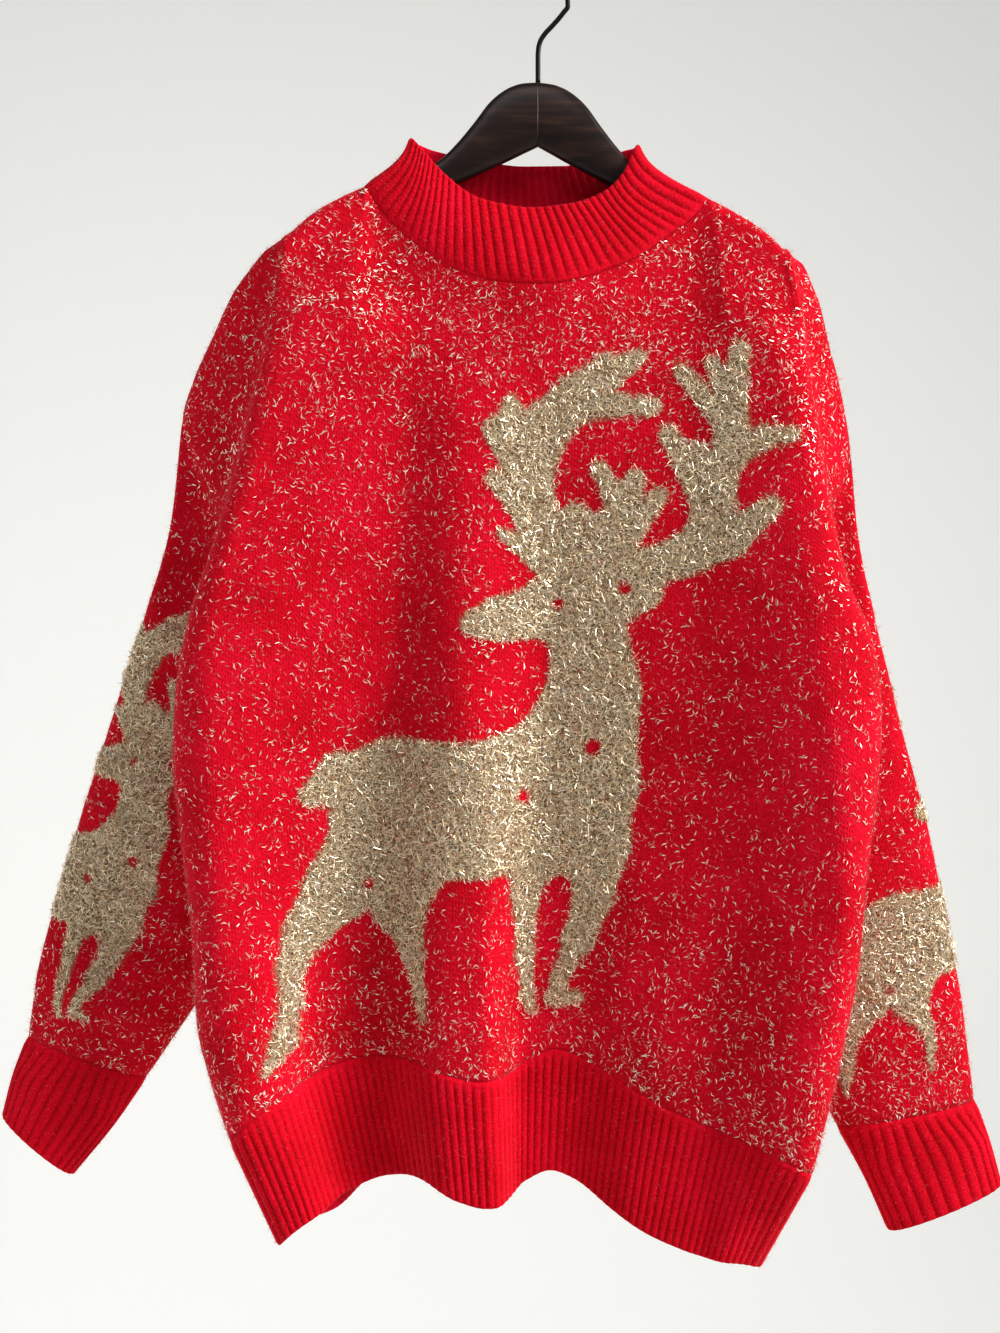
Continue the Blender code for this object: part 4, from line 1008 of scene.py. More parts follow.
def stitches(material, wide, tall):
    """Relief of plain knitting from the knit UV map: legs that lean together in each column."""
    split = node(material, "SeparateXYZ", {"Vector": node(material, "UVMap", uv_map="knit").outputs["UV"]})
    across = worked_out(material, "FRACT", worked_out(material, "DIVIDE", split.outputs["X"], wide))
    off_middle = worked_out(material, "ABSOLUTE", worked_out(material, "SUBTRACT", across, 0.5))
    rise = worked_out(material, "ADD", worked_out(material, "DIVIDE", split.outputs["Y"], tall), off_middle)
    leg = worked_out(material, "SINE", worked_out(material, "MULTIPLY", rise, 2.0 * math.pi))
    leg = worked_out(material, "MULTIPLY", leg, LEG_RELIEF)
    column_edge = worked_out(material, "SINE", worked_out(material, "MULTIPLY", off_middle, 2.0 * math.pi))
    column_edge = worked_out(material, "MULTIPLY", column_edge, EDGE_RELIEF)
    return worked_out(material, "ADD", leg, column_edge)


print("a column of plain stitches is", 1000 * STITCH[0], "mm wide, one of a rib", 1000 * RIB_STITCH[0], "mm")

# %% Red wool
def wool(name, strength, stitch, relief):
    """Brushed red wool; `metal` says where metallic hair covers it, `valley` where it is low and gets painted
    shade, and below 0 where it gets painted light.
    """
    material, shader = new_material(
        name, Roughness=0.9, Sheen_Weight=0.26, Sheen_Roughness=0.32, Sheen_Tint=(1.0, 0.28, 0.33, 1.0),
        Specular_IOR_Level=0.06,
    )
    places = node(material, "TexCoord").outputs["Object"]
    cloudy = node(material, "TexNoise", {"Vector": places, "Scale": 22.0, "Detail": 3.0}).outputs["Fac"]
    cloudy = worked_out(material, "MULTIPLY", cloudy, 0.45)
    speckle = node(material, "TexNoise", {"Vector": places, "Scale": 520.0, "Detail": 3.0}).outputs["Fac"]
    speckle = worked_out(material, "MULTIPLY", speckle, 0.55)
    # painted shade: the wool is painted darker where `valley` is high, and paler as painted light where it is
    # below 0
    valley = node(material, "Attribute", attribute_name="valley").outputs["Fac"]
    valley = worked_out(material, "MULTIPLY", valley, VALLEY_SHADE)
    shade = worked_out(material, "SUBTRACT", worked_out(material, "ADD", cloudy, speckle), valley)
    stops = ((0.26, RED_DEEP), (0.50, RED_MIDDLE), (0.74, RED_BRIGHT))
    red = ramp(material, shade, [(where, [c * strength for c in color]) for where, color in stops])
    metal = node(material, "Attribute", attribute_name="metal").outputs["Fac"]
    mix = node(material, "Mix", data_type="RGBA")
    links = material.node_tree.links
    links.new(metal, mix.inputs["Factor"])
    links.new(red, mix.inputs[6])
    mix.inputs[7].default_value = (*UNDER_METAL, 1.0)
    links.new(mix.outputs[2], shader.inputs["Base Color"])
    fuzz = node(material, "TexNoise", {"Vector": places, "Scale": 900.0, "Detail": 2.0}).outputs["Fac"]
    fuzz = worked_out(material, "MULTIPLY", fuzz, FUZZ_RELIEF)
    height = worked_out(material, "ADD", stitches(material, *stitch), fuzz)
    bump = node(material, "Bump", {"Height": height, "Strength": relief, "Distance": 0.0006})
    links.new(bump.outputs["Normal"], shader.inputs["Normal"])
    return material


red_wool = wool("red brushed wool", 1.0, STITCH, 0.55)
ribbed_wool = wool("red ribbed wool", 1.12, RIB_STITCH, 0.40)
print("the red wool has", len(red_wool.node_tree.nodes), "nodes")

# %% Metallic hair and loose wool fibres
def hair_material(name, stops, roughness, metallic):
    """Hair whose colour is read off its own `tint` number."""
    material, shader = new_material(name, Roughness=roughness, Metallic=metallic)
    tint = node(material, "Attribute", attribute_name="tint").outputs["Fac"]
    material.node_tree.links.new(ramp(material, tint, stops), shader.inputs["Base Color"])
    return material


# the hairs' tints are partly the yarn's own and partly painted reflection: darker hairs stand in for ones
# that reflect the dark cloth around them
champagne = hair_material(
    "champagne metallic hair",
    [
        (0.0, (0.54, 0.40, 0.22)), (0.35, (0.78, 0.59, 0.35)),
        (0.7, (1.0, 0.83, 0.55)), (1.0, (1.0, 0.95, 0.81)),
    ],
    0.38, 0.68,
)
# the red end of these tints stands for hairs sunk under red fuzz, and is partly painted shade
loose_metal = hair_material(
    "loose metallic hair",
    [
        (0.0, (0.72, 0.12, 0.11)), (0.55, (0.84, 0.42, 0.34)),
        (0.8, (0.96, 0.82, 0.66)), (1.0, (1.0, 0.97, 0.90)),
    ],
    0.38, 0.35,
)
wool_fibre = hair_material(
    "red wool fibre",
    [(0.0, (0.55, 0.003, 0.016)), (0.6, (0.85, 0.020, 0.07)), (1.0, (1.0, 0.12, 0.17))],
    0.85, 0.0,
)
print(champagne.name, "and", loose_metal.name, "shine;", wool_fibre.name, "is matt")

# %% Dark wood and black wire
dark_wood, shader = new_material("dark stained wood", Roughness=0.30, Specular_IOR_Level=0.22)
along_arm = node(dark_wood, "Mapping", {
    "Vector": node(dark_wood, "TexCoord").outputs["Object"], "Scale": (7.0, 30.0, 60.0),
})
grain = node(dark_wood, "TexNoise", {"Vector": along_arm.outputs["Vector"], "Scale": 3.0, "Detail": 8.0})
wood_tones = [(0.30, (0.009, 0.006, 0.005)), (0.55, (0.020, 0.011, 0.009)), (0.75, (0.050, 0.022, 0.016))]
tone = ramp(dark_wood, grain.outputs["Fac"], wood_tones)
dark_wood.node_tree.links.new(tone, shader.inputs["Base Color"])
pores = node(dark_wood, "Bump", {"Height": grain.outputs["Fac"], "Strength": 0.12, "Distance": 0.0004})
dark_wood.node_tree.links.new(pores.outputs["Normal"], shader.inputs["Normal"])
black_wire, shader = new_material("black steel wire", Base_Color=(0.012, 0.012, 0.013, 1.0), Metallic=0.85)
worn = node(black_wire, "TexNoise", {"Scale": 300.0, "Detail": 4.0})
shine = node(black_wire, "MapRange", {"Value": worn.outputs["Fac"], "To Min": 0.28, "To Max": 0.48})
black_wire.node_tree.links.new(shine.outputs["Result"], shader.inputs["Roughness"])
print(len(bpy.data.materials), "materials")

# %% [markdown]
# ## The reindeer
# On such a sweater the animal is knitted in with a hairy metallic yarn. Here it is a plain reindeer of
# this lesson's own, drawn as a few tapered strokes: a stroke is a line with a radius at each end. The
# distance to the nearest stroke says how far inside or outside the animal a point is, which tells the
# cloth where to darken and the metallic hair where to grow. Eye and spots are left red. It needs no
# picture file, and its edge stays sharp however close one looks.

# %% Strokes of the reindeer
STROKES = (
    # trunk, chest and neck: x, height, radius at one end, then at the other
    (-94, -562, 45, -40, -564, 42), (-40, -564, 42, 20, -546, 45), (-30, -568, 36, 28, -578, 31),
    (22, -536, 44, 37, -486, 29), (37, -486, 29, 33, -448, 25), (-132, -541, 15, -151, -555, 7),
    # the head looks back over the shoulder; its muzzle and its ear
    (31, -432, 24, 6, -430, 19), (6, -432, 18, -26, -438, 13), (-26, -438, 13, -43, -441, 8),
    (44, -430, 15, 72, -421, 9),
    # hind legs
    (-108, -584, 30, -134, -617, 21), (-134, -617, 21, -153, -642, 13), (-153, -642, 13, -163, -666, 7),
    (-163, -666, 7, -163, -690, 5), (-163, -690, 5, -167, -714, 6), (-167, -714, 6, -177, -732, 2),
    (-84, -592, 28, -93, -628, 17), (-93, -628, 17, -84, -654, 7), (-84, -654, 7, -79, -684, 3),
    (-79, -684, 3, -77, -702, 2), (-66, -590, 14, -44, -590, 14),
    # forelegs
    (-2, -588, 20, -9, -622, 8), (-9, -622, 8, -9, -662, 5), (-9, -662, 5, -8, -688, 3),
    (-8, -690, 3, -5, -698, 3), (38, -588, 22, 36, -624, 11), (36, -624, 11, 27, -650, 9),
    (27, -650, 9, 14, -678, 4), (14, -680, 4, 12, -690, 4), (8, -692, 3, 26, -690, 4),
    # the antler on the left: a broad crescent, then its leaves
    (17, -408, 12, 0, -376, 12), (0, -376, 12, -6, -344, 14), (-6, -344, 14, 4, -312, 15),
    (4, -312, 15, 26, -289, 13), (26, -289, 13, 66, -264, 5), (30, -295, 10, 76, -297, 5),
    (2, -398, 9, -25, -381, 3), (-4, -372, 9, -30, -345, 5), (-8, -344, 10, -29, -313, 8),
    (-20, -316, 9, -18, -297, 6), (30, -290, 9, 44, -268, 6),
    # the small leaves between the antlers
    (42, -412, 14, 50, -380, 11), (50, -380, 11, 64, -345, 6), (46, -384, 10, 24, -366, 5),
    (56, -368, 8, 40, -338, 5), (58, -384, 8, 80, -356, 5), (30, -396, 7, 18, -372, 5),
    # the antler on the right
    (60, -408, 13, 96, -396, 12), (96, -396, 12, 124, -386, 11), (124, -386, 11, 152, -364, 6),
    (102, -392, 11, 117, -362, 10), (117, -362, 10, 126, -322, 9), (126, -322, 9, 132, -261, 6),
    (122, -334, 7, 146, -320, 6), (146, -320, 6, 166, -317, 4), (126, -312, 8, 94, -274, 5),
    (127, -296, 6, 114, -268, 4), (112, -366, 9, 86, -316, 6), (113, -352, 7, 104, -326, 5),
)
# the eye and the spots, left bare: x, height, radius
BARE_SPOTS = ((13, -427, 4.5), (57, -417, 5.0), (36, -523, 6.0), (-10, -556, 5.0), (-113, -614, 4.0))
print("the reindeer has", len(STROKES), "strokes and", len(BARE_SPOTS), "bare spots")

# %% Inside or outside the reindeer
BLEND = 2.4  # how softly one stroke runs into the next, in millimetres


def inside_reindeer(x, z):
    """How far inside the reindeer each point is, in millimetres; below 0 outside."""
    deepest = np.full(np.shape(x), -1e3 / BLEND)
    for x0, z0, r0, x1, z1, r1 in STROKES:
        run = (x1 - x0) ** 2 + (z1 - z0) ** 2
        q = np.clip(((x - x0) * (x1 - x0) + (z - z0) * (z1 - z0)) / run, 0.0, 1.0)
        away = np.hypot(x - x0 - q * (x1 - x0), z - z0 - q * (z1 - z0))
        deepest = np.logaddexp(deepest, (r0 + (r1 - r0) * q - away) / BLEND)
    deepest = deepest * BLEND
    for x0, z0, radius in BARE_SPOTS:
        deepest = np.minimum(deepest, np.hypot(x - x0, z - z0) - radius)
    return deepest


print("the middle of its trunk is", round(float(inside_reindeer(-40.0, -560.0))), "mm inside")

# %% Where the design lies on each piece
SLEEVE_DESIGN = {
    # width and height beside the front's, way round, place of its middle, height of its hooves above the
    # cuff, and how far it leans
    "sleeve_right": (0.63, 0.67, 1.0, 0.147, -3.0, 0.09),
    "sleeve_left": (0.72, 0.66, -1.0, 0.915, 6.0, 0.0),
}
HOOVES = -738.0  # height of the hooves on the front
NOWHERE = 1e4  # a place far from the design, for cloth that has none
SOFT_EDGE = 3.0  # width of the reindeer's edge in the wool
sheets["front"]["design"] = sheets["front"]["outer"][..., [0, 2]].copy()
sheets["front"]["design"][:, :TURN_CELLS] = NOWHERE
sheets["front"]["design"][:, -TURN_CELLS:] = NOWHERE
sheets["back"]["design"] = np.full(back.shape[:2] + (2,), NOWHERE)
for name, (wide, tall, way_round, share, above, lean) in SLEEVE_DESIGN.items():
    knit = sheets[name]["knit"]
    round_it = (knit[:, :-1, 0] / knit[:, -1:, 0] + 0.5 - share) % 1.0 - 0.5
    across = way_round * round_it * knit[:, -1:, 0] / wide
    upright = HOOVES + (knit[-1:, :-1, 1] - knit[:, :-1, 1] - above) / tall
    sheets[name]["design"] = np.stack([across + lean * (upright - HOOVES), upright], -1)
for name, sheet in sheets.items():
    deep = inside_reindeer(sheet["design"][..., 0], sheet["design"][..., 1])
    sheet["metal"] = smooth(deep / SOFT_EDGE + 0.5)
    print(name, "is", round(100 * float(sheet["metal"].mean()), 1), "% reindeer")

# %% [markdown]
# ## The knitted pieces
# Each shell stands for the plain solid of the same piece in the part. It rides on the fixed body, so it
# stays where the solid is. The solids themselves are too coarse to look like cloth, which is why they
# are replaced and not painted.

# %% Put a piece in place of its solid
made = {}


def keep(piece, nodes=()):
    """Fixes a piece to the part, and hides the solids that it stands for."""
    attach(piece, "root")
    for name in nodes:
        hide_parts(name)
    made[piece.name] = piece
    return piece


print("the pieces ride on the part's fixed body")

# %% Front, back and sleeves
for name, sheet in sheets.items():
    piece = shell(name + "_cloth", sheet["outer"], sheet["inner"], sheet["knit"], sheet["closed"], red_wool)
    add_numbers(piece, "metal", sheet["metal"])
    keep(piece, [name])
    print(piece.name, len(piece.data.polygons), "faces")

# %% [markdown]
# ## Ribs
# The collar, cuffs and hem are knitted in ribs: round crests with narrow valleys between them. They
# are raised in the mesh itself, because their shadows and the wavy edge they end in both show; a bump
# map would leave the edge straight. The back of a valley stands out on the inside, so the inside of
# the collar shows ribs too. A rib grows out of the seam over a few millimetres and rounds off at the
# free edge.

# %% A ribbed band
INNER_RIB = 0.85  # how far a valley's back stands out on the inside
VALLEY_CUT = 0.25  # how far a valley lies below the plain wall
ROUND_CREST = 0.65  # below 1 a crest is broad and a valley narrow
GROWTH, EDGE_ROUND = 8.0, 2.0  # distance over which a rib grows out of the seam, and rounds off
EDGE_DRAWN = 0.85  # at 1 the wall would close to a line at the free edge
RIB_DIP = 3.0  # how far from the seam a band is drawn in
FLAT_CELLS, ROUND_CELLS = 6, 8  # cells across a rib of the hem, and across one of a cuff or the collar
CREST_SHADE, INSIDE_PAINTED_LIGHT = 0.6, 1.2  # inside, the wool behind a crest gets painted shade, and all of it gets painted light that makes it paler


def ribbed_band(name, rows_of, steps, closed, count, seam_face, out, seam_row, per_rib):
    """A fine ribbed shell from rows of points; seam_row is the row that is sewn on."""
    q = np.linspace(0, 1, count * per_rib + 1)
    if closed:
        q = q[:-1]
    grid = rows_of(q, steps)
    face = facing(grid, closed, out)
    face[seam_row] = seam_face(q)
    knit = knit_places(grid, closed)
    down_band = knit[:, : grid.shape[1], 1]
    from_seam = down_band if seam_row == 0 else down_band[-1:] - down_band
    from_edge = down_band[-1:] - down_band if seam_row == 0 else down_band
    crest = np.abs(np.sin(np.pi * q * count))[None] ** ROUND_CREST
    grown = smooth(from_seam / GROWTH)
    rounded = np.sqrt(1.0 - (1.0 - np.clip(from_edge / EDGE_ROUND, 0.0, 1.0)) ** 2 * EDGE_DRAWN)
    edges = ("top" if seam_row == 0 else "low",) + (() if closed else ("first", "last"))
    grid = trimmed(grid, edges)
    dip = SEAM_DIP * np.exp(-((from_seam / RIB_DIP) ** 2))
    lift = (WALL / 2 - dip - VALLEY_CUT * grown + (RIB_HEIGHT + VALLEY_CUT) * grown * crest) * rounded
    outer = grid + face * lift[..., None]
    inner = grid - face * ((INNER_SIDE + INNER_RIB * grown * (1.0 - crest)) * rounded)[..., None]
    piece = shell(name, outer, inner, knit, closed, ribbed_wool)
    # painted shade in the outer valleys; inside, painted shade behind each crest and painted light over all
    # of it
    inner_painted_shading = coarser((CREST_SHADE * crest * grown - INSIDE_PAINTED_LIGHT)[..., None], closed)[0]
    add_numbers(piece, "valley", (1.0 - crest) * grown, inner_painted_shading)
    return piece, {"outer": outer, "face": face, "knit": knit, "closed": closed}


print("a rib stands", RIB_HEIGHT, "mm above the wall and a valley", VALLEY_CUT, "mm below it")

# %% The hem
BAND_STEPS = np.concatenate([np.linspace(0.0, 0.96, 25), [0.975, 0.986, 0.994, 1.0]])
HEM_MIDDLE = -12.0  # where across the hem hangs straight down
DRAWN_IN = 0.155  # how much the ribs draw the hem in towards its middle on the way down
HEM_DEEPER = 0.13  # how much its waves open on the way down
HEM_LEVEL = -26.0  # depth about which its waves open
SIDE_REACH = 60.0  # how far from a side seam the hem still hangs by that side
LEFT_LEANS = 0.25  # part by which the wearer's left side leans back more, and the right side less
HEMS = (("hem_front", "front", FOLDS_FRONT, 1.0), ("hem_back", "back", FOLDS_BACK, -1.0))
bands = {}
for name, sheet_name, folds, out in HEMS:
    line, face = sheets[sheet_name]["grid"][-1], sheets[sheet_name]["face"][-1]
    way = way_along(line, False)

    def hem_rows(q, steps, line=line, way=way, folds=folds):
        """Rows of the band, each a step further down from the hem seam."""
        top = place(way, line, q, False)
        rows = []
        for t in steps:
            height = np.full(len(q), float(FOLD_HEIGHTS[-1]))
            deeper = fold_depth(folds, top[:, 0], height, 1.0 + t)[0]
            deeper = deeper - fold_depth(folds, top[:, 0], height, 1.0)[0]
            inside = smooth((top[:, 0] - line[0, 0]) / SIDE_REACH)
            inside = inside * smooth((line[-1, 0] - top[:, 0]) / SIDE_REACH)
            back_lean = HEM_SIDE_LEAN * (1.0 - inside) * (1.0 + LEFT_LEANS * np.sign(top[:, 0]))
            spread = HEM_DEEPER * (top[:, 1] - HEM_LEVEL) * inside + back_lean
            lean = np.stack([-DRAWN_IN * (top[:, 0] - HEM_MIDDLE), spread, 0 * q], -1) * t
            fall = np.sqrt((HEM_DROP * t) ** 2 - lean[:, 0] ** 2 - (back_lean * t) ** 2)
            lean[:, 1] += deeper * inside
            lean[:, 2] = -fall
            rows.append(top + lean)
        return np.array(rows)

    def hem_face(q, face=face, way=way):
        """The outward direction that the panel has at the seam."""
        return place(way, face, q, False)

    piece, bands[name] = ribbed_band(
        name + "_ribs", hem_rows, BAND_STEPS, False, HEM_RIBS, hem_face, out, 0, FLAT_CELLS
    )
    keep(piece, [name])
    print(piece.name, len(piece.data.polygons), "faces")

# %% The cuffs
CUFF_SETTLED = 0.5  # part of the way down where a cuff has its own section
CUFFS = (("cuff_right", "sleeve_right", CUFF_RIGHT, 1.0), ("cuff_left", "sleeve_left", CUFF_LEFT, -1.0))
for name, sleeve_name, table, out in CUFFS:
    ring, face = sheets[sleeve_name]["grid"][-1], sheets[sleeve_name]["face"][-1]
    way = way_along(ring, True)
    angles = ring_angles(ring, half_ring)

    def cuff_rows(q, steps, ring=ring, way=way, angles=angles, table=table):
        """Rings of the cuff, the first one being the sleeve's last."""
        turn = np.interp(q, way, np.append(angles, 2 * np.pi))
        start = place(way, ring, q, True)
        shift = start - sleeve_section(table, 0.0, turn)
        left = [1.0 - smooth(t / CUFF_SETTLED) for t in steps]
        return np.array([sleeve_section(table, t, turn) + shift * k for t, k in zip(steps, left)])

    def cuff_face(q, face=face, way=way):
        """The outward direction that the sleeve has at the seam."""
        return place(way, face, q, True)

    piece, bands[name] = ribbed_band(
        name + "_ribs", cuff_rows, BAND_STEPS, True, CUFF_RIBS, cuff_face, out, 0, ROUND_CELLS
    )
    keep(piece, [name])
    print(piece.name, len(piece.data.polygons), "faces")

# %% The collar's seam round the neck
first, last = np.flatnonzero(on_neck)[[0, -1]]
neck_line = np.concatenate([front[0, first:last], back[0, last:first:-1]])
neck_face = [sheets["front"]["face"][0, first:last], sheets["back"]["face"][0, last:first:-1]]
neck_face = np.concatenate(neck_face)
neck_way = way_along(neck_line, True)
turn_point = neck_way[last - first]
print("the front has", round(100 * float(turn_point)), "% of the neck's seam")

# %% The collar
COLLAR_STEPS = np.concatenate([np.linspace(0.0, 0.955, 22), [0.97, 0.982, 0.992, 1.0]])
SWELL, SWELL_GROWS = 2.5, 8.0  # how far the collar's middle stands out in depth, and over what depth
SIDE_BOW = 0.22  # how much its sides bow on the way up
SIDE_FROM, SIDE_RUN = 45.0, 60.0  # the bow starts this far from the middle and grows over this


def collar_rows(q, steps):
    """Rows of the collar from its free edge down to the neck's seam."""
    base = place(neck_way, neck_line, q, True)
    part = np.where(q <= turn_point, 0.5 * q / turn_point, 0.5 + 0.5 * (q - turn_point) / (1.0 - turn_point))
    round_top = [row[0] for row in COLLAR_TOP]
    top = np.stack([follow(round_top, [row[k] for row in COLLAR_TOP], part) for k in (1, 2, 3)], -1)
    rows = []
    for t in steps:
        row = base + (top - base) * t
        bow = SIDE_BOW * math.sin(math.pi * t) * smooth((np.abs(base[:, 0]) - SIDE_FROM) / SIDE_RUN)
        row[:, 0] += (top - base)[:, 0] * bow
        swell = SWELL * math.sin(math.pi * t)
        row[:, 1] += np.sign(row[:, 1]) * np.minimum(np.abs(row[:, 1]) / SWELL_GROWS, 1.0) * swell
        rows.append(row)
    return np.array(rows[::-1])


def collar_face(q):
    """The outward direction that the panels have at the neck."""
    return place(neck_way, neck_face, q, True)


piece, bands["collar"] = ribbed_band(
    "collar_ribs", collar_rows, COLLAR_STEPS, True, COLLAR_RIBS, collar_face, 1.0, -1, ROUND_CELLS
)
keep(piece, ["collar"])
print(piece.name, len(piece.data.polygons), "faces")

# %% [markdown]
# ## The hanger
# Two arms of stained wood meet at a glued joint in the middle, and a steel wire bent into a hook goes
# up from there. Both are tubes: an arm is a row of rounded sections from the part's own table, and the
# wire a round one along its bend. A curve with a bevel would give the wire too, but one helper for
# both is less to learn. The joint is a fine groove, cut by drawing the first section in a little.

# %% A tube from rings of points
def tube(name, rings, material, smooth_ends):
    """A closed piece from rings of points, with a flat cap on each end."""
    count, round_it = rings.shape[:2]
    index = np.arange(count * round_it).reshape(count, round_it)
    index = np.concatenate([index, index[:, :1]], axis=1)
    sides = cells_of(index)[..., [0, 3, 2, 1]].reshape(-1, 4).tolist()
    caps = [list(range(round_it))[::-1], [int(i) for i in index[-1, :-1]]]
    mesh = mesh_of(name, rings, sides + caps, material)
    mesh.polygons.foreach_set("use_smooth", [True] * len(sides) + [smooth_ends] * len(caps))
    mesh.update()
    if signed_volume(rings.reshape(-1, 3), sides) < 0.0:
        mesh.flip_normals()
    return put_in_scene(name, mesh)


print("a tube joins its rings with four-sided faces")

# %% Wooden arms
ARM_SECTIONS = np.concatenate([[0.0, 0.5, 1.0], np.linspace(2.0, 150.0, 66), np.linspace(152.0, 164.5, 14)])
ROUND = 36  # points round a section
SQUARED = 0.72  # below 1 a section is a rounded bar, at 1 an oval
GROOVE, GROOVE_WIDTH = 0.015, 0.5  # part by which the glued joint draws the section in, and its width
GROOVE_TALL = 0.3  # it draws the section's height in only by this part of that


def wooden_arm(name, side):
    """One arm: superellipse sections from the joint to the rounded tip."""
    angle = np.linspace(0, 2 * np.pi, ROUND, endpoint=False)
    turn_y = np.sign(np.cos(angle)) * np.abs(np.cos(angle)) ** SQUARED
    turn_z = np.sign(np.sin(angle)) * np.abs(np.sin(angle)) ** SQUARED
    along = [row[0] for row in HANGER]
    top, low, half = (follow(along, [row[k] for row in HANGER], ARM_SECTIONS) for k in (1, 2, 3))
    groove = 1.0 - GROOVE * np.exp(-((ARM_SECTIONS / GROOVE_WIDTH) ** 2))
    x = side * ARM_SECTIONS
    middle, tall = (top + low) / 2 - HANGER_TILT * x, (top - low) / 2 * (1.0 - (1.0 - groove) * GROOVE_TALL)
    y = hanger_bow(x)[:, None] + (half * groove)[:, None] * turn_y
    rings = np.stack([np.repeat(x[:, None], ROUND, 1), y, middle[:, None] + tall[:, None] * turn_z], -1)
    return tube(name, rings, dark_wood, False)


keep(wooden_arm("right_arm_wood", -1.0), ["hanger_right"])
keep(wooden_arm("left_arm_wood", 1.0), ["hanger_left"])
print("an arm has", len(made["left_arm_wood"].data.polygons), "faces")

# %% The way of the hook's wire
HOOK_START, HOOK_STEP = -6.0, 4.0  # degrees at which its round part begins, and between its points
bend = [(float(x), float(z)) for x, z in HOOK_BEND]
for degrees in np.arange(HOOK_START, HOOK_END + 1.0, HOOK_STEP):
    turn = math.radians(degrees)
    bend.append((HOOK_RADIUS * math.cos(turn), HOOK_RADIUS * math.sin(turn) - HOOK_RADIUS + WIRE))
wire_line = np.array([(x, 0.0, z) for x, z in bend])
wire_way = way_along(wire_line, False)
wire_length = np.linalg.norm(np.diff(wire_line, axis=0), axis=1).sum()
print("the wire is", round(float(wire_length)), "mm long")

# %% The wire hook
WIRE_RINGS, WIRE_ROUND = 150, 16  # rings along the wire and points round it
ROUNDED_END = (0.35, 0.75, 0.98)  # the last rings, as parts of the wire's radius towards its very end
fine_way = np.linspace(0, 1, WIRE_RINGS)
wire_line = np.stack([follow(wire_way, wire_line[:, k], fine_way) for k in range(3)], -1)
ahead = np.gradient(wire_line, axis=0)
ahead /= np.linalg.norm(ahead, axis=1, keepdims=True)
sideways = np.array([0.0, 1.0, 0.0])
across_wire = np.cross(ahead, sideways)
wire_angle = np.linspace(0, 2 * np.pi, WIRE_ROUND, endpoint=False)[None, :, None]
spokes = np.cos(wire_angle) * across_wire[:, None] + np.sin(wire_angle) * sideways
to_end = np.concatenate([np.zeros(WIRE_RINGS - len(ROUNDED_END)), ROUNDED_END])
radius = WIRE * np.sqrt(np.clip(1.0 - to_end**2, 0.0, 1.0))
wire_rings = wire_line[:, None] + radius[:, None, None] * spokes
keep(tube("hook_wire", wire_rings, black_wire, True), ["hook"])
print("the hook has", len(made["hook_wire"].data.polygons), "faces")

# %% [markdown]
# ## Metallic hair
# The reindeer is a carpet of short flat metallic hairs that lie every way, so each catches the light
# differently; that is what makes it glitter. Loose ones are spread over the red cloth. Each hair is a
# real strip of mesh, placed at a random spot of the cloth and turned a little out of it. Blender could
# scatter them with nodes, but here the random numbers come from one seed, so every run is the same.

# %% Random places on cloth
rng = np.random.default_rng(24)
DESIGN_JUMP = 50.0  # the design never goes further than this across one cell
TRIAL = 10  # places that are enough to measure a sheet


def scatter(sheet, count):
    """Random places spread evenly over a sheet: point, outward way, way across, place on the design."""
    grid, face, design = sheet["outer"], sheet["face"], sheet.get("design")
    if sheet["closed"]:
        grid, face = (np.concatenate([a, a[:, :1]], axis=1) for a in (grid, face))
        if design is not None:
            design = np.concatenate([design, design[:, :1]], axis=1)
    side_a, side_b = grid[1:, :-1] - grid[:-1, :-1], grid[:-1, 1:] - grid[:-1, :-1]
    area = np.linalg.norm(np.cross(side_a, side_b), axis=-1).reshape(-1)
    cell = np.searchsorted(np.cumsum(area), rng.random(count) * area.sum())
    cell = np.minimum(cell, area.size - 1)
    row, col = np.divmod(cell, grid.shape[1] - 1)
    p, q = rng.random(count), rng.random(count)

    def read(values):
        """Values of the grid at the random places in its cells."""
        p1, q1 = p[:, None], q[:, None]
        low = values[row, col] * (1 - q1) + values[row, col + 1] * q1
        high = values[row + 1, col] * (1 - q1) + values[row + 1, col + 1] * q1
        return low * (1 - p1) + high * p1

    out = unit(read(face))
    across = grid[row, col + 1] - grid[row, col]
    across = unit(across - out * (across * out).sum(1, keepdims=True))
    if design is not None:
        # a cell across which the design jumps is where it wraps round a sleeve, or where it ends
        jump = np.abs(design[row, col + 1, 0] - design[row, col, 0]) > DESIGN_JUMP
        design = np.where(jump[:, None], NOWHERE, read(design))
    return {"at": read(grid), "out": out, "across": across, "area_cm2": area.sum() / 100.0, "design": design}


def scattered(sheet, thickly):
    """Random places, so many to a square centimetre; a first few measure the sheet."""
    return scatter(sheet, int(thickly * scatter(sheet, TRIAL)["area_cm2"]))


def chosen(spots, which):
    """Only some of the places."""
    return {key: value[which] if isinstance(value, np.ndarray) else value for key, value in spots.items()}


print("random numbers come from one seed, and every piece of cloth takes its own from them")

# %% How a hair lies, and how hairs become a piece
def hair_way(spots, turn, rise):
    """The way each hair points: turned round on the cloth, then raised out of it."""
    beside = np.cross(spots["out"], spots["across"])
    lie = np.cos(turn)[:, None] * spots["across"] + np.sin(turn)[:, None] * beside
    return lie * np.cos(rise)[:, None] + spots["out"] * np.sin(rise)[:, None]


def hair_piece(name, points, faces, tint, material):
    """One mesh of many hairs, each with its own tint."""
    mesh = mesh_of(name, points, faces.tolist(), material)
    tints = np.repeat(tint, points.shape[1]).astype(np.float32)
    mesh.attributes.new("tint", "FLOAT", "POINT").data.foreach_set("value", tints)
    keep(put_in_scene(name, mesh))
    print(name, len(points), "hairs")


def either(which, first, second):
    """A random number for each hair, in the first range where `which` is true, else in the second."""
    return np.where(which, rng.uniform(*first, len(which)), rng.uniform(*second, len(which)))


print("a hair of the reindeer is a strip, a loose one is bent, and a wool fibre has one point")

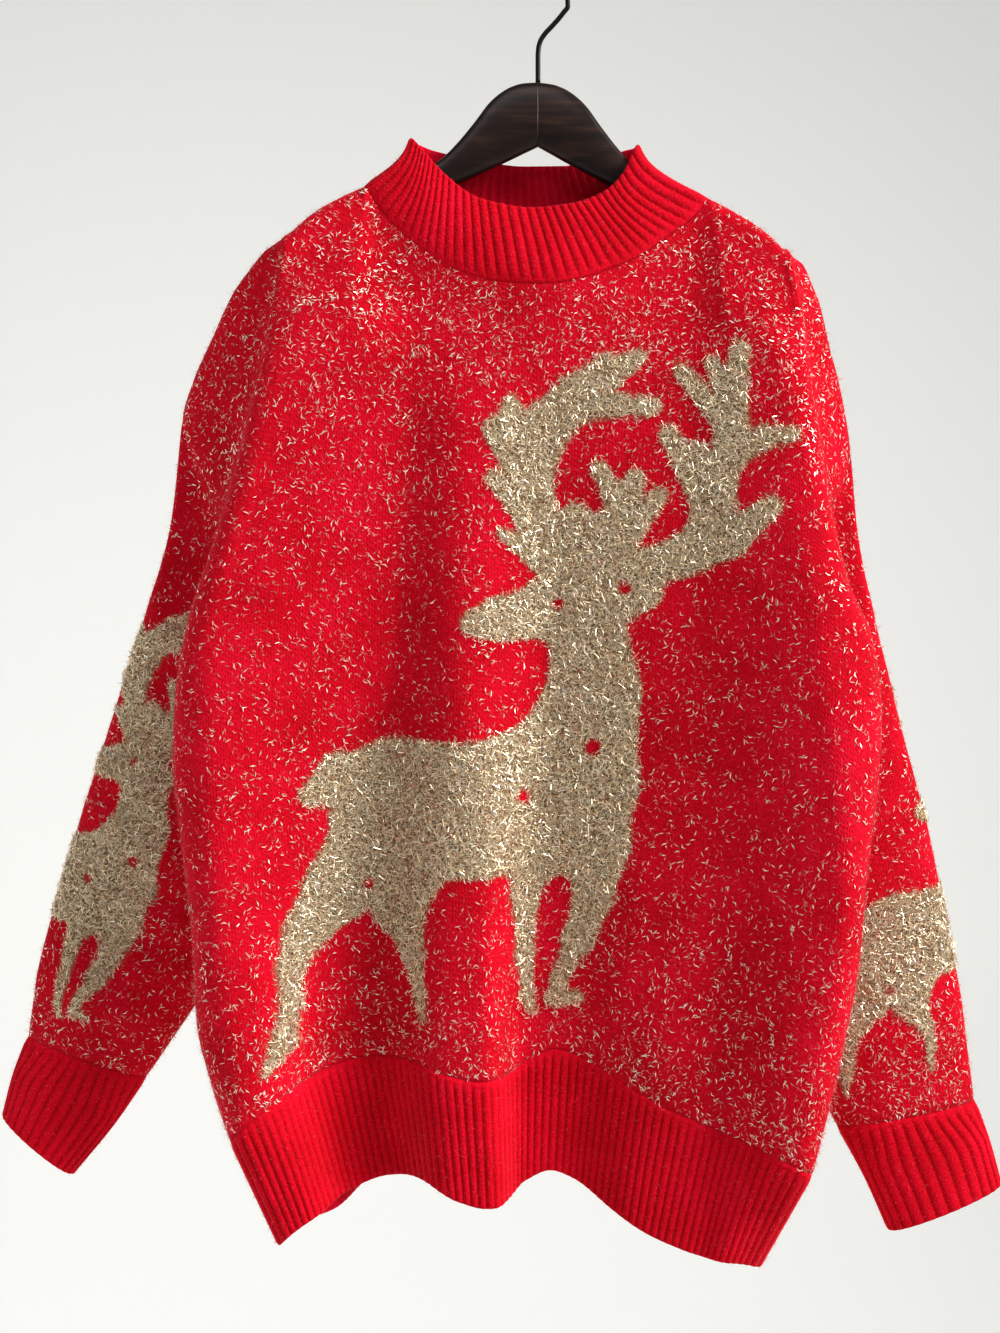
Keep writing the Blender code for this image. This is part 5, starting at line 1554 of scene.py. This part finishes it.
# %% The reindeer's carpet of hair
CARPET = 122  # metallic hairs on a square centimetre of reindeer
LONG_SHARE = 0.16  # part of them that is longer and stands higher
RAGGED = 1.4  # how far the carpet's edge strays from the design
ROLLED = 1.9  # range of the turn of a strip about its own length, in radians
CARPET_TILT = (0.08, 0.24)  # mean slant out of the cloth and its spread, in radians


def add_strips(name, spots, length, width, lift, tilt, tint, material):
    """One flat strip at each place; lengths in millimetres, tilt is out of the cloth in radians."""
    along = hair_way(spots, rng.random(len(length)) * 2 * np.pi, tilt)
    aside = unit(np.cross(along, spots["out"]))
    roll = (rng.random(len(length)) - 0.5) * ROLLED
    aside = aside * np.cos(roll)[:, None] + np.cross(along, aside) * np.sin(roll)[:, None]
    middle = spots["at"] + spots["out"] * (lift + 0.5 * length * np.abs(np.sin(tilt)))[:, None]
    along, aside = along * length[:, None] / 2, aside * width[:, None] / 2
    start, end = middle - along, middle + along
    corners = np.stack([start - aside, start + aside, end + aside, end - aside], 1)
    hair_piece(name, corners, np.arange(4 * len(length)).reshape(-1, 4), tint, material)


for name in ("front", "sleeve_right", "sleeve_left"):
    spots = scattered(sheets[name], CARPET)
    depth_in = inside_reindeer(spots["design"][:, 0], spots["design"][:, 1])
    spots = chosen(spots, depth_in > rng.normal(0.0, RAGGED, len(depth_in)))
    n = len(spots["at"])
    long_one = rng.random(n) < LONG_SHARE
    # each range goes from least to most, in millimetres: first of the long hairs, then of the others
    length = either(long_one, (3.0, 5.6), (1.5, 3.4))
    width = either(long_one, (0.26, 0.42), (0.28, 0.48))
    lift = either(long_one, (0.5, 1.7), (0.05, 1.0))
    # a hair's tint is partly the yarn's own and partly painted reflection
    tint = either(long_one, (0.45, 0.95), (0.0, 1.0))
    tint = np.where(long_one, tint, tint**0.8)  # a little more of the short ones are pale
    tilt = rng.normal(*CARPET_TILT, n)
    add_strips("reindeer_" + name, spots, length, width, lift, tilt, tint, champagne)

# %% Where loose metallic hairs lie thickest
RICH_HEIGHTS = (-860, -770, -680, -600, -400, -320, -250, -150)
RICH = (1.0, 0.88, 0.52, 0.38, 0.38, 0.55, 0.80, 0.72)  # part of the hairs kept at those heights
PATCH_WIDE, PATCH_TALL = 17.0, 14.0  # size of the patches where they lie thicker or thinner
STRAY_TALL, STRAY_WIDE = 29.0, 23.0  # size of the bends that make the patches uneven
STRAY_ACROSS, STRAY_DOWN = 2.0, 1.6  # how strong those bends are
STEADY, PATCHY = 0.88, 0.25  # the steady part of the share, and what a patch adds or takes


def richness(at):
    """Share of the loose hairs that a place keeps: most near the neck and low down, and in patches."""
    x, z = at[:, 0], at[:, 2]
    patches = np.sin(x / PATCH_WIDE + STRAY_ACROSS * np.sin(z / STRAY_TALL))
    patches = patches * np.sin(z / PATCH_TALL + STRAY_DOWN * np.sin(x / STRAY_WIDE))
    return np.interp(z, RICH_HEIGHTS, RICH) * (STEADY + PATCHY * patches)


around_chest = richness(np.array([[x, 0.0, -450.0] for x in range(-150, 151, 10)]))
print("at the chest", round(100 * float(around_chest.mean())), "% of the loose hairs are kept")

# %% Loose metallic hairs on the red
LOOSE = 16.0  # loose hairs on a square centimetre, before richness thins them out
BRIGHT_SHARE = 0.26  # part of them that is paler, longer and wider
BENT = 0.17  # how far a hair's middle strays, as a part of its length
LOOSE_TILT = (0.05, 0.18)  # mean slant out of the cloth and its spread, in radians
EDGE_SHARED = 0.5  # how far inside the reindeer's edge loose hairs still grow


def add_flecks(name, spots, length, width, lift, tilt, tint, material):
    """Short bent hairs that come to a point at both ends, two triangles each."""
    along = hair_way(spots, rng.random(len(length)) * 2 * np.pi, tilt)
    aside = unit(np.cross(along, spots["out"]))
    bend = rng.normal(0.0, BENT, len(length)) * length
    middle = spots["at"] + spots["out"] * (lift + 0.5 * length * np.abs(np.sin(tilt)))[:, None]
    along = along * length[:, None] / 2
    bow, aside = aside * bend[:, None], aside * width[:, None] / 2
    points = np.stack([middle - along, middle + bow - aside, middle + bow + aside, middle + along], 1)
    first = np.arange(len(length))[:, None] * 4
    faces = np.stack([first + np.array([[0, 1, 2]]), first + np.array([[2, 1, 3]])], 1).reshape(-1, 3)
    hair_piece(name, points, faces, tint, material)


for name, sheet in sheets.items():
    spots = scattered(sheet, LOOSE)
    bare = inside_reindeer(spots["design"][:, 0], spots["design"][:, 1]) < EDGE_SHARED
    spots = chosen(spots, bare & (rng.random(len(bare)) < richness(spots["at"])))
    n = len(spots["at"])
    bright = rng.random(n) < BRIGHT_SHARE
    # first the range of the bright hairs, then that of the others
    tint = either(bright, (0.75, 1.0), (0.0, 0.65))
    length = either(bright, (2.6, 5.2), (1.8, 4.2))
    width = either(bright, (0.50, 0.90), (0.40, 0.66))
    lift = either(bright, (0.2, 1.2), (0.05, 0.5))
    tilt = rng.normal(*LOOSE_TILT, n)
    add_flecks("loose_metal_" + name, spots, length, width, lift, tilt, tint, loose_metal)

# %% [markdown]
# ## Fuzz
# Brushed wool never ends in a clean line: fine fibres stand off it and soften every edge. Each is one
# long narrow triangle that leaves the cloth at its own slant. A hair system would do the same, but
# plain mesh is quick to render and is also what another program can read.

# %% Wool fibres
FUZZ, RIB_FUZZ = 24, 26  # fibres on a square centimetre of plain cloth and of ribs
FUZZ_LENGTH, RIB_FUZZ_LENGTH = (1.2, 7.0), (1.0, 4.5)  # least and most
FIBRE_RISE = (0.10, 1.35)  # least and most slant out of the cloth, in radians
FIBRE_HALF = (0.08, 0.13)  # half of a fibre's width at its root
ROOTED = 0.2  # how far its root is in the cloth
MOSTLY_SHORT = 2.2  # above 1 there are more short fibres than long ones


def add_fuzz(name, spots, lengths):
    """Fibres that stand off the cloth, most of them near the least of their lengths."""
    n = len(spots["at"])
    low, high = lengths
    length = low + (high - low) * rng.random(n) ** MOSTLY_SHORT
    turn = rng.random(n) * 2 * np.pi
    ahead = hair_way(spots, turn, rng.uniform(*FIBRE_RISE, n))
    base = spots["at"] - spots["out"] * ROOTED
    aside = unit(np.cross(ahead, rng.normal(0.0, 1.0, (n, 3)))) * rng.uniform(*FIBRE_HALF, n)[:, None]
    points = np.stack([base - aside, base + aside, base + ahead * length[:, None]], 1)
    hair_piece(name, points, np.arange(3 * n).reshape(-1, 3), rng.random(n), wool_fibre)


for name, sheet in sheets.items():
    add_fuzz("fuzz_" + name, scattered(sheet, FUZZ), FUZZ_LENGTH)
for name, band in bands.items():
    add_fuzz("fuzz_" + name, scattered(band, RIB_FUZZ), RIB_FUZZ_LENGTH)

# %% [markdown]
# ## What the cloth was cut to
# The size that each knitted piece has when it lies flat is printed. The sizes are measured along the
# cloth as it hangs, its widest row by its longest column, so they are true however it folds.

def laid_flat(knit):
    """Width, length and area of a piece when it is laid flat, in metres."""
    width = round(float(np.ptp(knit[..., 0], axis=1).max()) * MM, 3)
    length = round(float(knit[-1, :, 1].max()) * MM, 3)
    cells = np.abs(np.diff(knit[:-1, :, 0], axis=1)) * np.diff(knit[..., 1], axis=0)[:, :-1]
    return width, length, min(float(cells.sum()) * MM * MM, width * length)


for name in list(sheets) + list(bands):
    cloth = name in sheets
    width, length, area = laid_flat(sheets[name]["knit"] if cloth else bands[name]["knit"])
    piece = made[name + ("_cloth" if cloth else "_ribs")]
    print(piece.name, "lies flat in", width, "x", length, "m, cloth", round(area, 4), "square metres")

# %% [markdown]
# ## Floor, backdrop, light and camera
# The sweater hangs free in front of a pale sweep that runs down into a pale floor. The main light is
# large and stands to the right of the camera, so every fold has a bright and a dark side. The pale
# surroundings fill the shadows. The camera is as far away as a person who looks at the sweater.

# %% Sweep of floor and backdrop
FLOOR, WALL_BEHIND, SWEEP = -2.2, 3.0, 1.0  # heights, distances and the bend's radius, in metres
HALF_WIDE, GLOW = 7.0, 0.27  # half the sweep's width, and how much light it gives off itself
NEAR_EDGE, MID_FLOOR, TOP_EDGE = -9.0, -4.0, 4.0  # the floor's start, a row of points on it, and the top
BEND_PARTS = 12  # flat parts in the quarter turn between the floor and the backdrop
profile = [(NEAR_EDGE, FLOOR), (MID_FLOOR, FLOOR), (WALL_BEHIND - SWEEP, FLOOR)]
for step in range(1, BEND_PARTS + 1):
    turn = math.radians(90.0 / BEND_PARTS * step)
    profile.append((WALL_BEHIND - SWEEP + SWEEP * math.sin(turn), FLOOR + SWEEP - SWEEP * math.cos(turn)))
profile.append((WALL_BEHIND, TOP_EDGE))
sweep_points = [(x, y, z) for y, z in profile for x in (-HALF_WIDE, HALF_WIDE)]
sweep_faces = [(2 * k, 2 * k + 1, 2 * k + 3, 2 * k + 2) for k in range(len(profile) - 1)]
sweep_mesh = bpy.data.meshes.new("pale sweep")
sweep_mesh.from_pydata(sweep_points, [], sweep_faces)
sweep_mesh.polygons.foreach_set("use_smooth", np.ones(len(sweep_faces), bool))
pale, shader = new_material("pale paint", Base_Color=(0.80, 0.80, 0.78, 1.0), Roughness=0.9)
shader.inputs["Emission Color"].default_value = (1.0, 1.0, 0.97, 1.0)
shader.inputs["Emission Strength"].default_value = GLOW
sweep_mesh.materials.append(pale)
put_in_scene("sweep", sweep_mesh)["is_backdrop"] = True
print("the backdrop is", WALL_BEHIND, "m behind the sweater")

# %% Lights
world = bpy.data.worlds.new("pale room")
world.use_nodes = True
sky = world.node_tree.nodes["Background"]
sky.inputs["Color"].default_value = (1.0, 0.99, 0.97, 1.0)
sky.inputs["Strength"].default_value = 0.12
bpy.context.scene.world = world
LIGHTS = (
    # name, where it stands, where it points, width, height, watts, spread in degrees
    ("key", (4.90, -1.90, 2.60), (0.0, 0.0, -0.45), 2.4, 2.4, 90.0, 70.0),
    ("fill", (-0.3, -2.2, 2.0), (0.0, 0.0, -0.25), 2.0, 1.4, 22.0, 180.0),
    ("left fill", (-3.0, 0.05, -0.3), (0.0, 0.0, -0.45), 1.6, 2.0, 25.0, 180.0),
)
for name, stands, points_at, wide, tall, watts, spread in LIGHTS:
    lamp = bpy.data.lights.new(name, "AREA")
    lamp.shape = "RECTANGLE"
    lamp.size, lamp.size_y, lamp.energy, lamp.spread = wide, tall, watts, math.radians(spread)
    holder = put_in_scene(name, lamp)
    holder.location = stands
    way_to = np.array(points_at) - np.array(stands)
    holder.rotation_mode = "XYZ"
    tip_up = math.atan2(math.hypot(way_to[0], way_to[1]), -way_to[2])
    holder.rotation_euler = (tip_up, 0.0, math.atan2(way_to[1], way_to[0]) - math.pi / 2)
    print("the", name, "light gives", watts, "W from", stands)

# %% Camera
camera = put_in_scene("camera", bpy.data.cameras.new("camera"))
camera.data.sensor_width = 36.0
camera.data.lens = 42.0
camera.location = (-0.0258, -1.0575, -0.4692)
camera.rotation_euler = (math.radians(90.0), 0.0, 0.0)
bpy.context.scene.camera = camera
bpy.context.scene.view_settings.view_transform = "Standard"
print("the camera is", round(-camera.location.y, 2), "m in front of the hanger")

# %% [markdown]
# ## The dressed size
# The dressed part may stand a little proud of the plain one, as fibres do. Its size and its count of
# triangles are printed.

# %% Sizes, then finish
dressed_box = [[float(v) for v in corner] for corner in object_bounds()]
triangles = sum(sum(len(p.vertices) - 2 for p in piece.data.polygons) for piece in made.values())
dressed_size = np.round(np.array(dressed_box[1]) - np.array(dressed_box[0]), 3)
print("dressed", dressed_size, "metres,", triangles, "triangles")
